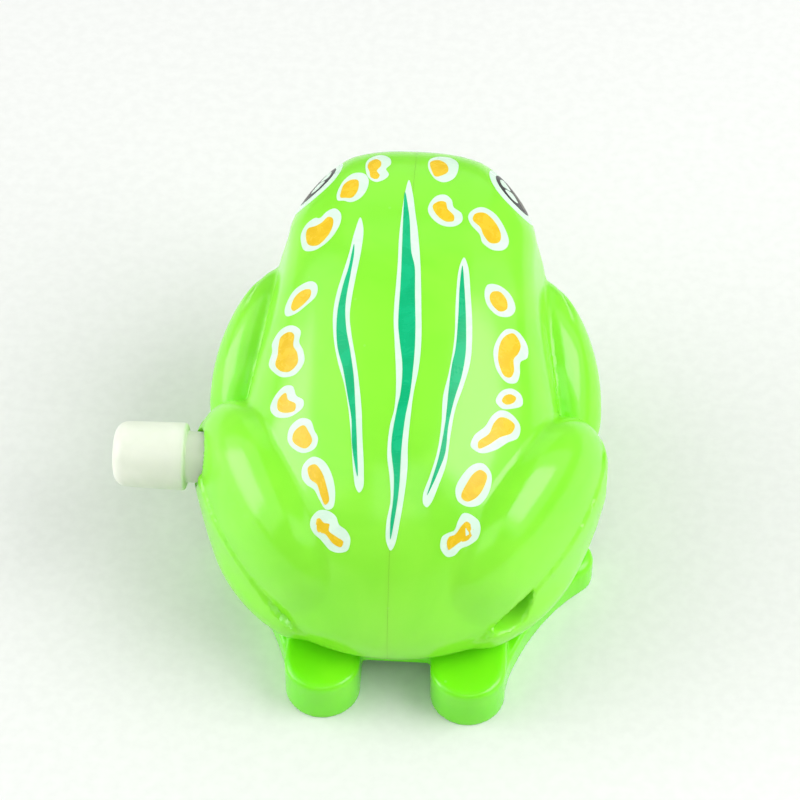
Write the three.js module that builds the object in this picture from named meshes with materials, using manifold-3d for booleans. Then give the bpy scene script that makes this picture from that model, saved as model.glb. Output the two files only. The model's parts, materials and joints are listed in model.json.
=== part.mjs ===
// A moulded plastic wind-up frog with its clockwork.
// Millimetres. The frog faces +Y, its right side is +X, +Z is up and it stands on z = 0.
// The shell is two half shells that meet at x = 0 and a belly plate that closes them from below.
// Inside, a spring motor turns a snail cam, and the cam holds and lets go of the hind legs,
// which hinge on a pin under the belly and kick down to make the frog hop.

import * as THREE from 'three';
import { mergeVertices } from 'three/addons/utils/BufferGeometryUtils.js';
import Module from 'manifold-3d';

const wasm = await Module();
wasm.setup();

// ---------------------------------------------------------------- driving dimensions

// Shell
const WALL = 1.2;                 // shell wall
const SEAM_GAP = 0.1;             // between the two half shells
const RIM_Z = 8.0;                // bottom edge of the shell above the ground
const BELT_HALF_WIDTH = 23.2;     // waist of the body at the rim, half width
const BELT_HALF_LENGTH = 25.9;    // from the middle of the body to the tail
const TRUNK_HALF_WIDTH = 19.3;
const TRUNK_HEIGHT = 16.5;        // half height of the trunk's egg shape
const HEAD_HALF_WIDTH = 15.3;
const HEAD_Y = 18.5;              // centre of the head ahead of the body's middle
const ARM_RADIUS = 5.2;           // widest part of the upper arm's egg shape
const FORE_ARM_RADIUS = 4.3;
const SLOT_LENGTH = 6.6;          // crescent slot at the right thigh
const SLOT_RISE = 29;             // degrees it climbs towards the front

// Belly plate, screws and posts
const PLATE_TOP = 8.4;
const PLATE_BOTTOM = 6.6;
const REST_GAP = 0.3;             // between pieces that rest on each other
const PLATE_CLEARANCE = 0.2;      // belly plate and motor plates to shell
const POST_RADIUS = 2.0;
const SCREW_RADIUS = 0.9;
const SCREW_HEAD_RADIUS = 1.8;
const SCREW_HEAD_HEIGHT = 1.0;
const SCREW_LENGTH = 7.0;
const FIT = 0.07;                 // radial clearance of screws and fixed shafts
const RUN = 0.08;                 // radial clearance of turning shafts
const FRONT_POST = [6.0, 16.4];
const REAR_POST_Y = -15.2;

// Motor
const ARBOR_Y = -4.1;             // winding arbor, ahead of the body's middle
const ARBOR_Z = 18.0;
const ARBOR_RADIUS = 1.2;
const CAM_SHAFT_Y = 5.0;
const CAM_SHAFT_Z = 15.2;
const SHAFT_RADIUS = 0.8;
const MODULE = 0.5;
const GREAT_TEETH = 32;
const IDLER_TEETH = 24;
const PINION_TEETH = 10;
const MESH_SLACK = 0.12;          // added to each pair's centre distance
const MOTOR_INNER = 6.3;          // half distance between the two motor plates
const MOTOR_PLATE = 1.0;          // motor plate thickness
const FLANGE_WIDTH = 4.5;
const FLANGE_SCREW_Y = [-7.0, 4.5];
const PILLAR_RADIUS = 1.4;
const PILLAR_END_RADIUS = 0.8;
const RATCHET_RADIUS = 3.2;
const RATCHET_TEETH = 8;
const RATCHET_DEPTH = 0.9;        // depth of the ratchet's teeth
const CLICK_CLEARANCE = 0.15;     // between the click's tip and the ratchet's teeth
const CLICK_STRIP = 0.3;          // thickness of the click's spring strip
const SPRING_OUTER = 7.9;
const SPRING_STRIP = 0.4;
const SPRING_TURNS = 5;
const SPRING_WIDTH = 4.2;

// Snail cam and hind legs
const CAM_MAX = 6.0;
const CAM_MIN = 2.3;
const CAM_WIDTH = 2.0;
const CAM_X = 3.9;                // inner face of the cam
const STEP_ANGLE = 40;            // degrees from forward to the cam's step, at rest
const CAM_CLEARANCE = 0.3;        // from the cam's largest radius to the crank's face, level with it
const CRANK_THICKNESS = 2.4;
const CRANK_TOP = 10.6;           // stops short of the cam, so both can move freely
const LEG_PIN_Z = 4.3;
const LEG_PIN_RADIUS = 1.0;
const LEG_PIN_HALF = 10.6;
const LEG_OFFSET_X = 0.8;         // the legs sit this far to the right on their pin
const LEG_ARM_X = 4.4;            // inner face of each leg's arm, from the legs' middle
const LEG_ARM_WIDTH = 2.6;
const LEG_ARM_BOTTOM = 2.8;
const LEG_ARM_TOP = 5.6;
const HEEL = [8.7, -24.2];        // centre of the heel's round end, from the legs' middle
const HEEL_RADIUS = 4.5;
const HEEL_HEIGHT = 6.0;
const HEEL_BEVEL = 0.8;           // top edge of the heels and the toes
const HEEL_LENGTH = 4.7;          // from the heel disc's centre to the front of the block
const HEEL_BAR_THICKNESS = 1.4;
const TOE = [20.2, -5.4];
const TOE_RADIUS = 3.0;
const TOE_HEIGHT = 4.4;
const WEB_HEIGHT = 3.6;
const KICK_COIL_RADIUS = 1.9;
const KICK_WIRE = 0.6;
const KICK_TURNS = 5;

// Knob
const KNOB_RADIUS = 4.1;
const KNOB_LENGTH = 8.8;
const KNOB_STAND_OFF = 2.4;       // from the waist to the inner end of the grip
const KNOB_INNER_X = -BELT_HALF_WIDTH - KNOB_STAND_OFF;
const NECK_LENGTH = 5.8;          // reaches into the shell
const NECK_RADIUS = 3.1;
const NECK_INNER_X = KNOB_INNER_X + NECK_LENGTH;

// Resolution
const SHELL_COLUMNS = 56;
const SHELL_ROWS = 18;
const CAVITY_COLUMNS = 28;
const CAVITY_ROWS = 10;
const RIM_POINTS = 40;

// ---------------------------------------------------------------- materials

function plastic(red, green, blue, roughness = 0.25) {
  const color = new THREE.Color().setRGB(red, green, blue, THREE.SRGBColorSpace);
  return new THREE.MeshStandardMaterial({ color, roughness, metalness: 0 });
}

function metal(red, green, blue, roughness = 0.35) {
  const color = new THREE.Color().setRGB(red, green, blue, THREE.SRGBColorSpace);
  return new THREE.MeshStandardMaterial({ color, roughness, metalness: 1 });
}

const materials = {
  shell: plastic(0.60, 0.96, 0.27),
  legs: plastic(0.50, 0.92, 0.20),
  knob: plastic(0.93, 0.95, 0.90),
  gear: plastic(0.90, 0.89, 0.84, 0.4),
  steel: metal(0.66, 0.67, 0.68),
  springSteel: metal(0.42, 0.43, 0.46),
  brass: metal(0.80, 0.66, 0.36),
};

// ---------------------------------------------------------------- solids from geometries

// A closed geometry becomes a solid once equal corners are shared and collapsed faces are gone.
function solidFrom(geometry) {
  const bare = new THREE.BufferGeometry();
  bare.setAttribute('position', geometry.getAttribute('position').clone());
  if (geometry.index) {
    bare.setIndex(geometry.index.clone());
  }
  const merged = mergeVertices(bare, 1e-5);
  const index = merged.index.array;
  const kept = [];
  for (let i = 0; i < index.length; i += 3) {
    const [a, b, c] = [index[i], index[i + 1], index[i + 2]];
    if (a !== b && b !== c && c !== a) {
      kept.push(a, b, c);
    }
  }
  return new wasm.Manifold(new wasm.Mesh({
    numProp: 3,
    vertProperties: new Float32Array(merged.getAttribute('position').array),
    triVerts: new Uint32Array(kept),
  }));
}

function geometryFrom(solid) {
  const mesh = solid.getMesh();
  const geometry = new THREE.BufferGeometry();
  geometry.setAttribute('position', new THREE.BufferAttribute(mesh.vertProperties, 3));
  geometry.setIndex(new THREE.BufferAttribute(mesh.triVerts, 1));
  geometry.computeVertexNormals();
  return geometry;
}

function joined(...solids) {
  return solids.reduce((whole, piece) => whole.add(piece));
}

function box(low, high) {
  const size = high.map((value, axis) => value - low[axis]);
  const geometry = new THREE.BoxGeometry(...size);
  geometry.translate(...low.map((value, axis) => value + size[axis] / 2));
  return solidFrom(geometry);
}

// A round bar along Z, from one height to another.
function barZ(radius, x, y, bottom, top, sides = 20, topRadius = radius) {
  const geometry = new THREE.CylinderGeometry(topRadius, radius, top - bottom, sides);
  geometry.rotateX(Math.PI / 2);
  geometry.translate(x, y, (top + bottom) / 2);
  return solidFrom(geometry);
}

// A round bar along X, from one side to another.
function barX(radius, y, z, left, right, sides = 20) {
  const geometry = new THREE.CylinderGeometry(radius, radius, right - left, sides);
  geometry.rotateZ(Math.PI / 2);
  geometry.translate((left + right) / 2, y, z);
  return solidFrom(geometry);
}

// A flat outline drawn in X and Y, extruded upwards.
function slabZ(shape, bottom, top, segments = 8) {
  const geometry = new THREE.ExtrudeGeometry(shape, {
    depth: top - bottom, bevelEnabled: false, curveSegments: segments,
  });
  geometry.translate(0, 0, bottom);
  return solidFrom(geometry);
}

// A flat outline drawn in Y and Z, extruded along X.
function slabX(shape, left, right, segments = 8) {
  const geometry = new THREE.ExtrudeGeometry(shape, {
    depth: right - left, bevelEnabled: false, curveSegments: segments,
  });
  const turn = new THREE.Matrix4().makeBasis(
    new THREE.Vector3(0, 1, 0), new THREE.Vector3(0, 0, 1), new THREE.Vector3(1, 0, 0));
  geometry.applyMatrix4(turn);
  geometry.translate(left, 0, 0);
  return solidFrom(geometry);
}

// A profile of [distance along X, radius] pairs turned about an axis along X.
function turnedX(profile, y, z, sides = 28) {
  const points = profile.map(([along, radius]) => new THREE.Vector2(radius, along));
  const geometry = new THREE.LatheGeometry(points, sides);
  geometry.rotateZ(-Math.PI / 2);
  geometry.translate(0, y, z);
  return solidFrom(geometry);
}

// A rounded limb between two points, with its own radius at each end.
function limb(from, to, fromRadius, toRadius, sides = 10) {
  const start = new THREE.Vector3(...from);
  const end = new THREE.Vector3(...to);
  const length = start.distanceTo(end);
  const profile = [];
  const steps = 3;
  for (let i = 0; i <= steps; i += 1) {
    const angle = (i / steps - 1) * Math.PI / 2;
    profile.push(new THREE.Vector2(fromRadius * Math.cos(angle), fromRadius * Math.sin(angle)));
  }
  for (let i = 0; i <= steps; i += 1) {
    const angle = (i / steps) * Math.PI / 2;
    profile.push(new THREE.Vector2(
      toRadius * Math.cos(angle), length + toRadius * Math.sin(angle)));
  }
  profile[0].x = 0;
  profile[profile.length - 1].x = 0;
  const geometry = new THREE.LatheGeometry(profile, sides);
  const direction = end.clone().sub(start).normalize();
  geometry.applyQuaternion(new THREE.Quaternion().setFromUnitVectors(
    new THREE.Vector3(0, 1, 0), direction));
  geometry.translate(...from);
  return solidFrom(geometry);
}

// ---------------------------------------------------------------- the frog's outer form

// Each function gives the distance from a point to a surface, negative inside.
// The form is mirrored about x = 0, so x is taken as positive.

function turnedInto(point, centre, pitch, yaw) {
  let x = point[0] - centre[0];
  let y = point[1] - centre[1];
  let z = point[2] - centre[2];
  [x, y] = [x * Math.cos(yaw) + y * Math.sin(yaw), -x * Math.sin(yaw) + y * Math.cos(yaw)];
  [y, z] = [y * Math.cos(pitch) + z * Math.sin(pitch), -y * Math.sin(pitch) + z * Math.cos(pitch)];
  return [x, y, z];
}

function egg(point, centre, radii, pitchDegrees = 0, yawDegrees = 0) {
  const pitch = THREE.MathUtils.degToRad(pitchDegrees);
  const yaw = THREE.MathUtils.degToRad(yawDegrees);
  const local = turnedInto(point, centre, pitch, yaw);
  const near = Math.hypot(...local.map((value, axis) => value / radii[axis]));
  const slope = Math.hypot(...local.map((value, axis) => value / radii[axis] ** 2));
  return near * (near - 1) / Math.max(slope, 1e-9);
}

function roundedBox(point, centre, radii, power, pitchDegrees = 0) {
  const local = turnedInto(point, centre, THREE.MathUtils.degToRad(pitchDegrees), 0);
  let sum = 0;
  local.forEach((value, axis) => {
    sum += Math.abs(value / radii[axis]) ** power;
  });
  return (sum ** (1 / power) - 1) * Math.min(...radii) * 0.9;
}

function taperedRod(point, from, to, fromRadius, toRadius) {
  const along = to.map((value, axis) => value - from[axis]);
  const offset = point.map((value, axis) => value - from[axis]);
  const length2 = along.reduce((sum, value) => sum + value * value, 0);
  const dot = offset.reduce((sum, value, axis) => sum + value * along[axis], 0);
  const t = THREE.MathUtils.clamp(dot / length2, 0, 1);
  const distance = Math.hypot(...offset.map((value, axis) => value - along[axis] * t));
  return distance - (fromRadius + (toRadius - fromRadius) * t);
}

function blend(a, b, radius) {
  const overlap = Math.max(radius - Math.abs(a - b), 0) / radius;
  return Math.min(a, b) - overlap * overlap * radius / 4;
}

function trim(a, b, radius) {
  return -blend(-a, -b, radius);
}

const ELBOW = [19.3, 6.5, 15.8];
const HAND = [15.5, 17.5, 4.5];
const HAND_RADIUS = 3.0;
const EYE_SPOT = [11.6, HEAD_Y + 9, 34.1];   // a point on the flat of each eye
const EYE_WAY = new THREE.Vector3(0.742, 0.373, 0.548).normalize();
const EYE_STAND_OFF = 0.5;

// Trunk, head and belt, without the limbs.
function torsoForm([sideX, y, z]) {
  const point = [Math.abs(sideX), y, z];
  const trunk = egg(point, [0, -2, 18], [TRUNK_HALF_WIDTH, 23.5, TRUNK_HEIGHT], 22);
  const jaw = egg(point, [0, HEAD_Y, 24], [HEAD_HALF_WIDTH + 1, 14.5, 9.5]);
  const crown = roundedBox(point, [0, HEAD_Y, 29], [HEAD_HALF_WIDTH, 15, 10], 2.6, 6);
  const eyeFlat = point.reduce((sum, value, axis) =>
    sum + (value - EYE_SPOT[axis]) * EYE_WAY.getComponent(axis), -EYE_STAND_OFF);
  const head = trim(blend(jaw, crown, 3), eyeFlat, 1.5);
  const frontSqueeze = y > 0 ? 1.2 : 1;
  const belt = roundedBox([point[0], y * frontSqueeze, z], [0, 0.2, 10.5],
    [BELT_HALF_WIDTH, BELT_HALF_LENGTH, 9.4], 2.2);
  return blend(blend(trunk, head, 7), belt, 3);
}

// The whole outside, with the thighs and the arms moulded on.
function frogForm([sideX, y, z]) {
  const point = [Math.abs(sideX), y, z];
  const thigh = egg(point, [14.9, -9.6, 15.5], [7.3, 15.2, 11.5], 3, -31);
  const upperArm = egg(point, [18.1, 11.8, 18.9], [ARM_RADIUS, 11.6, ARM_RADIUS + 0.9], 33, 19);
  const foreArm = taperedRod(point, ELBOW, HAND, FORE_ARM_RADIUS, HAND_RADIUS);
  const haunches = blend(torsoForm(point), thigh, 0.7);
  return blend(haunches, blend(upperArm, foreArm, 1), 0.5);
}

// Distance from a centre, along a direction, to the outermost place where a form reaches a
// level: 0 is the outer face, and minus the wall is the inner face.
function reach(form, centre, direction, level) {
  let far = 60;
  for (let i = 0; i < 60; i += 1) {
    const here = centre.map((value, axis) => value + direction[axis] * far);
    const gap = form(here) - level;
    if (gap < 1e-4) {
      break;
    }
    far -= gap * 0.8;
  }
  return far;
}

const BODY_CENTRE = [0, 2, 17];

// A closed skin around the body's centre, as a sphere of columns and rows pulled to the form.
function bodySkin(form, level, columns, rows) {
  const geometry = new THREE.SphereGeometry(1, columns, rows);
  geometry.rotateX(Math.PI / 2);
  const position = geometry.getAttribute('position');
  for (let i = 0; i < position.count; i += 1) {
    const direction = new THREE.Vector3().fromBufferAttribute(position, i).normalize();
    if (Math.abs(direction.x) < 1e-6) {
      direction.x = 0;
    }
    const distance = reach(form, BODY_CENTRE, direction.toArray(), level);
    position.setXYZ(i, ...direction.toArray().map(
      (value, axis) => BODY_CENTRE[axis] + value * distance));
  }
  return solidFrom(geometry);
}

// The torso's outline at one height, seen from above.
function outlineAt(height, level, points) {
  const outline = [];
  for (let i = 0; i < points; i += 1) {
    const angle = i / points * 2 * Math.PI;
    const direction = [Math.cos(angle), Math.sin(angle), 0];
    const distance = reach(torsoForm, [0, BODY_CENTRE[1], height], direction, level);
    outline.push(new THREE.Vector2(
      direction[0] * distance, BODY_CENTRE[1] + direction[1] * distance));
  }
  return new THREE.Shape(outline);
}

// ---------------------------------------------------------------- pieces

const frog = new THREE.Group();

function place(name, solid, material) {
  const mesh = new THREE.Mesh(geometryFrom(solid), material);
  mesh.name = name;
  frog.add(mesh);
}

const FAR = 60;                       // larger than the frog, for cutting blocks
const MOTOR_OUTER = MOTOR_INNER + MOTOR_PLATE;
const REAR_POST = [MOTOR_OUTER + POST_RADIUS + REST_GAP, REAR_POST_Y];
const CENTRE_GREAT_IDLER = MODULE * (GREAT_TEETH + PINION_TEETH) / 2 + MESH_SLACK;
const CENTRE_IDLER_CAM = MODULE * (IDLER_TEETH + PINION_TEETH) / 2 + MESH_SLACK;

// The idler stands above the line from the arbor to the cam shaft, in mesh with both.
function idlerPlace() {
  const arbor = new THREE.Vector2(ARBOR_Y, ARBOR_Z);
  const camShaft = new THREE.Vector2(CAM_SHAFT_Y, CAM_SHAFT_Z);
  const span = camShaft.clone().sub(arbor);
  const distance = span.length();
  const along = (CENTRE_GREAT_IDLER ** 2 - CENTRE_IDLER_CAM ** 2 + distance ** 2) / (2 * distance);
  const above = Math.sqrt(CENTRE_GREAT_IDLER ** 2 - along ** 2);
  const forward = span.clone().normalize();
  const upward = new THREE.Vector2(-forward.y, forward.x);
  return arbor.addScaledVector(forward, along).addScaledVector(upward, above);
}

const IDLER = idlerPlace();

// Shell: two halves with posts for the belly screws and pegs that line up the seam.

const KNOB_HOLE_RADIUS = NECK_RADIUS + REST_GAP;
const SEAM_PEG_ANGLES = [36, 105, 168];     // degrees up from forward, round the seam
const PEG_RADIUS = 0.9;
const PEG_BOSS_RADIUS = 2.0;
const PEG_SINK = 0.45;            // how far each boss reaches into the wall
const PEG_LENGTH = 2.4;
const BOSS_DEPTH = 4.0;

const outerSkin = bodySkin(frogForm, 0, SHELL_COLUMNS, SHELL_ROWS);
const innerSkin = bodySkin(torsoForm, -WALL, CAVITY_COLUMNS, CAVITY_ROWS);
const buriedSkin = bodySkin(torsoForm, -WALL / 2, CAVITY_COLUMNS, CAVITY_ROWS);
const motorRoom = bodySkin(torsoForm, -WALL - PLATE_CLEARANCE, CAVITY_COLUMNS, CAVITY_ROWS);
// The plate drops into a mouth cut square to the ground.
const rimMouth = slabZ(outlineAt(RIM_Z, -WALL, RIM_POINTS), RIM_Z - 1, PLATE_TOP + REST_GAP);

// Each peg's boss lies just inside the wall, y and z.
const SEAM_PEGS = SEAM_PEG_ANGLES.map((degrees) => {
  const angle = THREE.MathUtils.degToRad(degrees);
  const direction = [0, Math.cos(angle), Math.sin(angle)];
  const distance = reach(torsoForm, BODY_CENTRE, direction, -WALL - PEG_BOSS_RADIUS + PEG_SINK);
  return [BODY_CENTRE[1] + direction[1] * distance, BODY_CENTRE[2] + direction[2] * distance];
});

// The crescent slot lies between the right thigh and the shank below it.
function crescentSlot() {
  const lens = new THREE.Shape();
  lens.moveTo(-SLOT_LENGTH / 2, 0);
  lens.quadraticCurveTo(0, 0.4, SLOT_LENGTH / 2, 0);
  lens.quadraticCurveTo(0, -3.6, -SLOT_LENGTH / 2, 0);
  const geometry = new THREE.ExtrudeGeometry(lens, { depth: 10, bevelEnabled: false });
  geometry.rotateZ(THREE.MathUtils.degToRad(SLOT_RISE));
  geometry.rotateX(Math.PI / 2);
  geometry.translate(0, 8, 0);
  geometry.rotateZ(THREE.MathUtils.degToRad(36.4));
  geometry.translate(14.5, -20.8, 13.0);
  return solidFrom(geometry);
}

function halfShell(side) {
  const near = SEAM_GAP / 2;
  const keep = side > 0 ? box([near, -FAR, RIM_Z], [FAR, FAR, FAR])
    : box([-FAR, -FAR, RIM_Z], [-near, FAR, FAR]);
  let half = outerSkin.subtract(innerSkin).subtract(rimMouth).intersect(keep);
  const seat = PLATE_TOP + REST_GAP;
  for (const [x, y] of [FRONT_POST, REAR_POST]) {
    const post = barZ(POST_RADIUS, side * x, y, seat, FAR, 14).intersect(buriedSkin);
    const bore = barZ(SCREW_RADIUS + FIT, side * x, y, seat - 1, seat + SCREW_LENGTH, 14);
    half = half.add(post).subtract(bore);
  }
  for (const [y, z] of SEAM_PEGS) {
    const [from, to] = side > 0 ? [near, BOSS_DEPTH] : [-BOSS_DEPTH, -near];
    half = half.add(barX(PEG_BOSS_RADIUS, y, z, from, to, 14).intersect(buriedSkin));
    half = side > 0
      ? half.subtract(barX(PEG_RADIUS + FIT, y, z, -1, PEG_LENGTH + REST_GAP, 14))
      : half.add(barX(PEG_RADIUS, y, z, -BOSS_DEPTH, PEG_LENGTH, 14));
  }
  return half;
}

const knobHole = barX(KNOB_HOLE_RADIUS, ARBOR_Y, ARBOR_Z, -FAR, -MOTOR_OUTER - 3, 28);
place('shell_left', halfShell(-1).subtract(knobHole), materials.shell);
place('shell_right', halfShell(1).subtract(crescentSlot()), materials.shell);

// Belly plate: drops into the rim and carries the motor, the leg pin and the front legs.

const LEG_PIN_Y = CAM_SHAFT_Y + CAM_MAX + CAM_CLEARANCE + CRANK_THICKNESS / 2;
const LUG_INNER = LEG_ARM_X + LEG_ARM_WIDTH + LEG_OFFSET_X + 0.3;
const LUG_WIDTH = 1.8;
const LUG_RADIUS = 2.2;
const CRANK_X = [CAM_X + 0.1, CAM_X + CAM_WIDTH + 0.1];

function frontLeg(side) {
  const mirrored = ([x, y, z]) => [side * x, y, z];
  const top = RIM_Z - REST_GAP;
  const arm = limb(mirrored(ELBOW), mirrored(HAND), FORE_ARM_RADIUS, HAND_RADIUS, 12);
  const palm = [HAND[0], HAND[1] - 0.5, 2];
  const toes = [[-3.5, 3.5], [0.5, 5], [4.3, 2.5]].map(([x, y]) =>
    limb(mirrored(palm), mirrored([HAND[0] + x, HAND[1] + y, 1.6]), 2.1, 1.5, 8));
  const root = box([side > 0 ? 11 : -17, 9.5, PLATE_BOTTOM], [side > 0 ? 17 : -11, 16, top]);
  return joined(arm, ...toes, root).intersect(box([-FAR, -FAR, 0], [FAR, FAR, top]));
}

function legLug(left) {
  const outline = new THREE.Shape();
  outline.moveTo(LEG_PIN_Y + LUG_RADIUS, PLATE_BOTTOM + 0.5);
  outline.lineTo(LEG_PIN_Y - LUG_RADIUS, PLATE_BOTTOM + 0.5);
  outline.lineTo(LEG_PIN_Y - LUG_RADIUS, LEG_PIN_Z);
  outline.absarc(LEG_PIN_Y, LEG_PIN_Z, LUG_RADIUS, Math.PI, 2 * Math.PI, false);
  return slabX(outline, left, left + LUG_WIDTH, 12);
}

const FLANGE_SCREW_X = MOTOR_OUTER + FLANGE_WIDTH / 2;
const FLANGE_BOTTOM = PLATE_TOP + REST_GAP;

function bellyPlate() {
  let plate = slabZ(outlineAt(RIM_Z, -WALL - PLATE_CLEARANCE, RIM_POINTS), PLATE_BOTTOM, PLATE_TOP);
  plate = joined(plate, frontLeg(1), frontLeg(-1), legLug(LUG_INNER), legLug(-LUG_INNER - LUG_WIDTH));
  plate = plate.subtract(barX(LEG_PIN_RADIUS + FIT, LEG_PIN_Y, LEG_PIN_Z, -FAR, FAR, 16));
  const slotRear = LEG_PIN_Y - CRANK_THICKNESS / 2 - 2;
  const slotFront = LEG_PIN_Y + CRANK_THICKNESS / 2 + 0.6;
  plate = plate.subtract(box([CRANK_X[0] - 0.5, slotRear, PLATE_BOTTOM - 1],
    [CRANK_X[1] + 0.5, slotFront, PLATE_TOP + 1]));
  for (const side of [1, -1]) {
    for (const [x, y] of [FRONT_POST, REAR_POST]) {
      plate = plate.subtract(barZ(SCREW_RADIUS + FIT, side * x, y, 0, FAR, 14));
    }
    for (const y of FLANGE_SCREW_Y) {
      plate = plate.subtract(barZ(SCREW_RADIUS + FIT, side * FLANGE_SCREW_X, y, 0, FAR, 14));
    }
  }
  return plate;
}

place('belly_plate', bellyPlate(), materials.shell);

// Screws: pan heads below the plate, shanks up into the posts and the motor's flanges.

function screw(x, y, shankTop) {
  const headTop = PLATE_BOTTOM - 0.05;
  const head = barZ(SCREW_HEAD_RADIUS * 0.8, x, y, headTop - SCREW_HEAD_HEIGHT, headTop, 14,
    SCREW_HEAD_RADIUS);
  const shank = barZ(SCREW_RADIUS, x, y, headTop - 0.5, shankTop, 14);
  const driverSlot = box([x - FAR, y - 0.25, headTop - SCREW_HEAD_HEIGHT - 1],
    [x + FAR, y + 0.25, headTop - SCREW_HEAD_HEIGHT + 0.45]);
  return head.add(shank).subtract(driverSlot);
}

const POST_SCREWS = [
  ['front_left', -FRONT_POST[0], FRONT_POST[1]],
  ['front_right', FRONT_POST[0], FRONT_POST[1]],
  ['rear_left', -REAR_POST[0], REAR_POST[1]],
  ['rear_right', REAR_POST[0], REAR_POST[1]],
];
for (const [where, x, y] of POST_SCREWS) {
  place(`belly_screw_${where}`, screw(x, y, PLATE_BOTTOM + SCREW_LENGTH), materials.steel);
}
for (const [side, sign] of [['left', -1], ['right', 1]]) {
  FLANGE_SCREW_Y.forEach((y, i) => {
    const top = FLANGE_BOTTOM + MOTOR_PLATE + 1;
    const name = `motor_screw_${side}_${i + 1}`;
    place(name, screw(sign * FLANGE_SCREW_X, y, top), materials.steel);
  });
}

// Motor frame: two steel plates held apart by three riveted pillars.

const PILLARS = [[-13.0, 12.8], [-9.6, 26.2], [11.6, 30.6]];   // y and z

function roundedOutline(points, radius) {
  const shape = new THREE.Shape();
  points.forEach(([y, z], i) => {
    const before = points[(i + points.length - 1) % points.length];
    const after = points[(i + 1) % points.length];
    const cornerFrom = Math.atan2(z - before[1], y - before[0]) - Math.PI / 2;
    let cornerTo = Math.atan2(after[1] - z, after[0] - y) - Math.PI / 2;
    while (cornerTo < cornerFrom) {
      cornerTo += 2 * Math.PI;
    }
    shape.absarc(y, z, radius, cornerFrom, cornerTo, false);
  });
  return shape;
}

const FRAME_MARGIN = 2.2;
const FRAME_CORNERS = [
  [PILLARS[0][0], FLANGE_BOTTOM + FRAME_MARGIN],
  [6.8, FLANGE_BOTTOM + FRAME_MARGIN],
  [7.4, 20.0],
  PILLARS[2],
  PILLARS[1],
];

function motorPlate(side) {
  const [left, right] = side > 0 ? [MOTOR_INNER, MOTOR_OUTER] : [-MOTOR_OUTER, -MOTOR_INNER];
  const flangeEnd = MOTOR_OUTER + FLANGE_WIDTH;
  const [flangeLeft, flangeRight] = side > 0 ? [left, flangeEnd] : [-flangeEnd, right];
  let plate = slabX(roundedOutline(FRAME_CORNERS, FRAME_MARGIN), left, right, 4);
  plate = plate.add(box([flangeLeft, -9.5, FLANGE_BOTTOM],
    [flangeRight, 6.5, FLANGE_BOTTOM + MOTOR_PLATE])).intersect(motorRoom);
  const through = (radius, y, z) => barX(radius, y, z, -FAR, FAR, 16);
  plate = plate.subtract(through(ARBOR_RADIUS + RUN, ARBOR_Y, ARBOR_Z));
  plate = plate.subtract(through(SHAFT_RADIUS + RUN, CAM_SHAFT_Y, CAM_SHAFT_Z));
  for (const [y, z] of PILLARS) {
    plate = plate.subtract(through(PILLAR_END_RADIUS + FIT, y, z));
  }
  plate = plate.subtract(through(SHAFT_RADIUS + FIT, IDLER.x, IDLER.y));
  for (const y of FLANGE_SCREW_Y) {
    plate = plate.subtract(barZ(SCREW_RADIUS + FIT, side * FLANGE_SCREW_X, y, 0, FAR / 3, 14));
  }
  return plate;
}

place('motor_plate_left', motorPlate(-1), materials.steel);
place('motor_plate_right', motorPlate(1), materials.steel);

const RIVET_HEAD = 0.5;
PILLARS.forEach(([y, z], i) => {
  const shoulder = MOTOR_INNER - 0.05;
  const outside = MOTOR_OUTER + 0.05;
  const end = outside + RIVET_HEAD;
  const pillar = turnedX([
    [-end, 0], [-end, PILLAR_RADIUS * 0.7], [-outside, PILLAR_RADIUS],
    [-outside, PILLAR_END_RADIUS], [-shoulder, PILLAR_END_RADIUS], [-shoulder, PILLAR_RADIUS],
    [shoulder, PILLAR_RADIUS], [shoulder, PILLAR_END_RADIUS], [outside, PILLAR_END_RADIUS],
    [outside, PILLAR_RADIUS], [end, PILLAR_RADIUS * 0.7], [end, 0],
  ], y, z, 14);
  place(`motor_pillar_${i + 1}`, pillar, materials.steel);
});

// Gears: involute flanks, thinned a little for backlash.

const PRESSURE = THREE.MathUtils.degToRad(20);
const ADDENDUM = 0.85;
const DEDENDUM = 1.15;
const BACKLASH = 0.1;

function gearOutline(teeth, firstGapAngle) {
  const pitch = MODULE * teeth / 2;
  const base = pitch * Math.cos(PRESSURE);
  const radii = [pitch - DEDENDUM * MODULE, pitch, pitch + ADDENDUM * MODULE];
  const involute = (angle) => Math.tan(angle) - angle;
  const halfPitch = (Math.PI * MODULE / 2 - BACKLASH) / 2 / pitch;
  const halfAngle = (radius) => {
    const roll = Math.acos(Math.min(base / radius, 1));
    return halfPitch + involute(PRESSURE) - involute(roll);
  };
  const outline = [];
  const step = 2 * Math.PI / teeth;
  for (let i = 0; i < teeth; i += 1) {
    const middle = firstGapAngle + (i + 0.5) * step;
    for (const radius of radii) {
      outline.push([radius, middle - halfAngle(radius)]);
    }
    for (const radius of [...radii].reverse()) {
      outline.push([radius, middle + halfAngle(radius)]);
    }
  }
  return outline.map(([radius, angle]) =>
    new THREE.Vector2(radius * Math.cos(angle), radius * Math.sin(angle)));
}

function gear(teeth, firstGapAngle, y, z, left, right) {
  const outline = gearOutline(teeth, firstGapAngle).map(
    (point) => point.add(new THREE.Vector2(y, z)));
  return slabX(new THREE.Shape(outline), left, right);
}

// Winding arbor: the knob turns it and the mainspring holds on to it.

const GREAT_X = [-0.5, 1.0];
const RATCHET_X = [1.2, 1.7];
const PINION_X = [-0.7, 1.9];
const IDLER_X = [1.9, 3.1];
const CAM_PINION_X = [1.7, 3.5];
const toIdler = Math.atan2(IDLER.y - ARBOR_Z, IDLER.x - ARBOR_Y);
const idlerToCam = Math.atan2(CAM_SHAFT_Z - IDLER.y, CAM_SHAFT_Y - IDLER.x);

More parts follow.
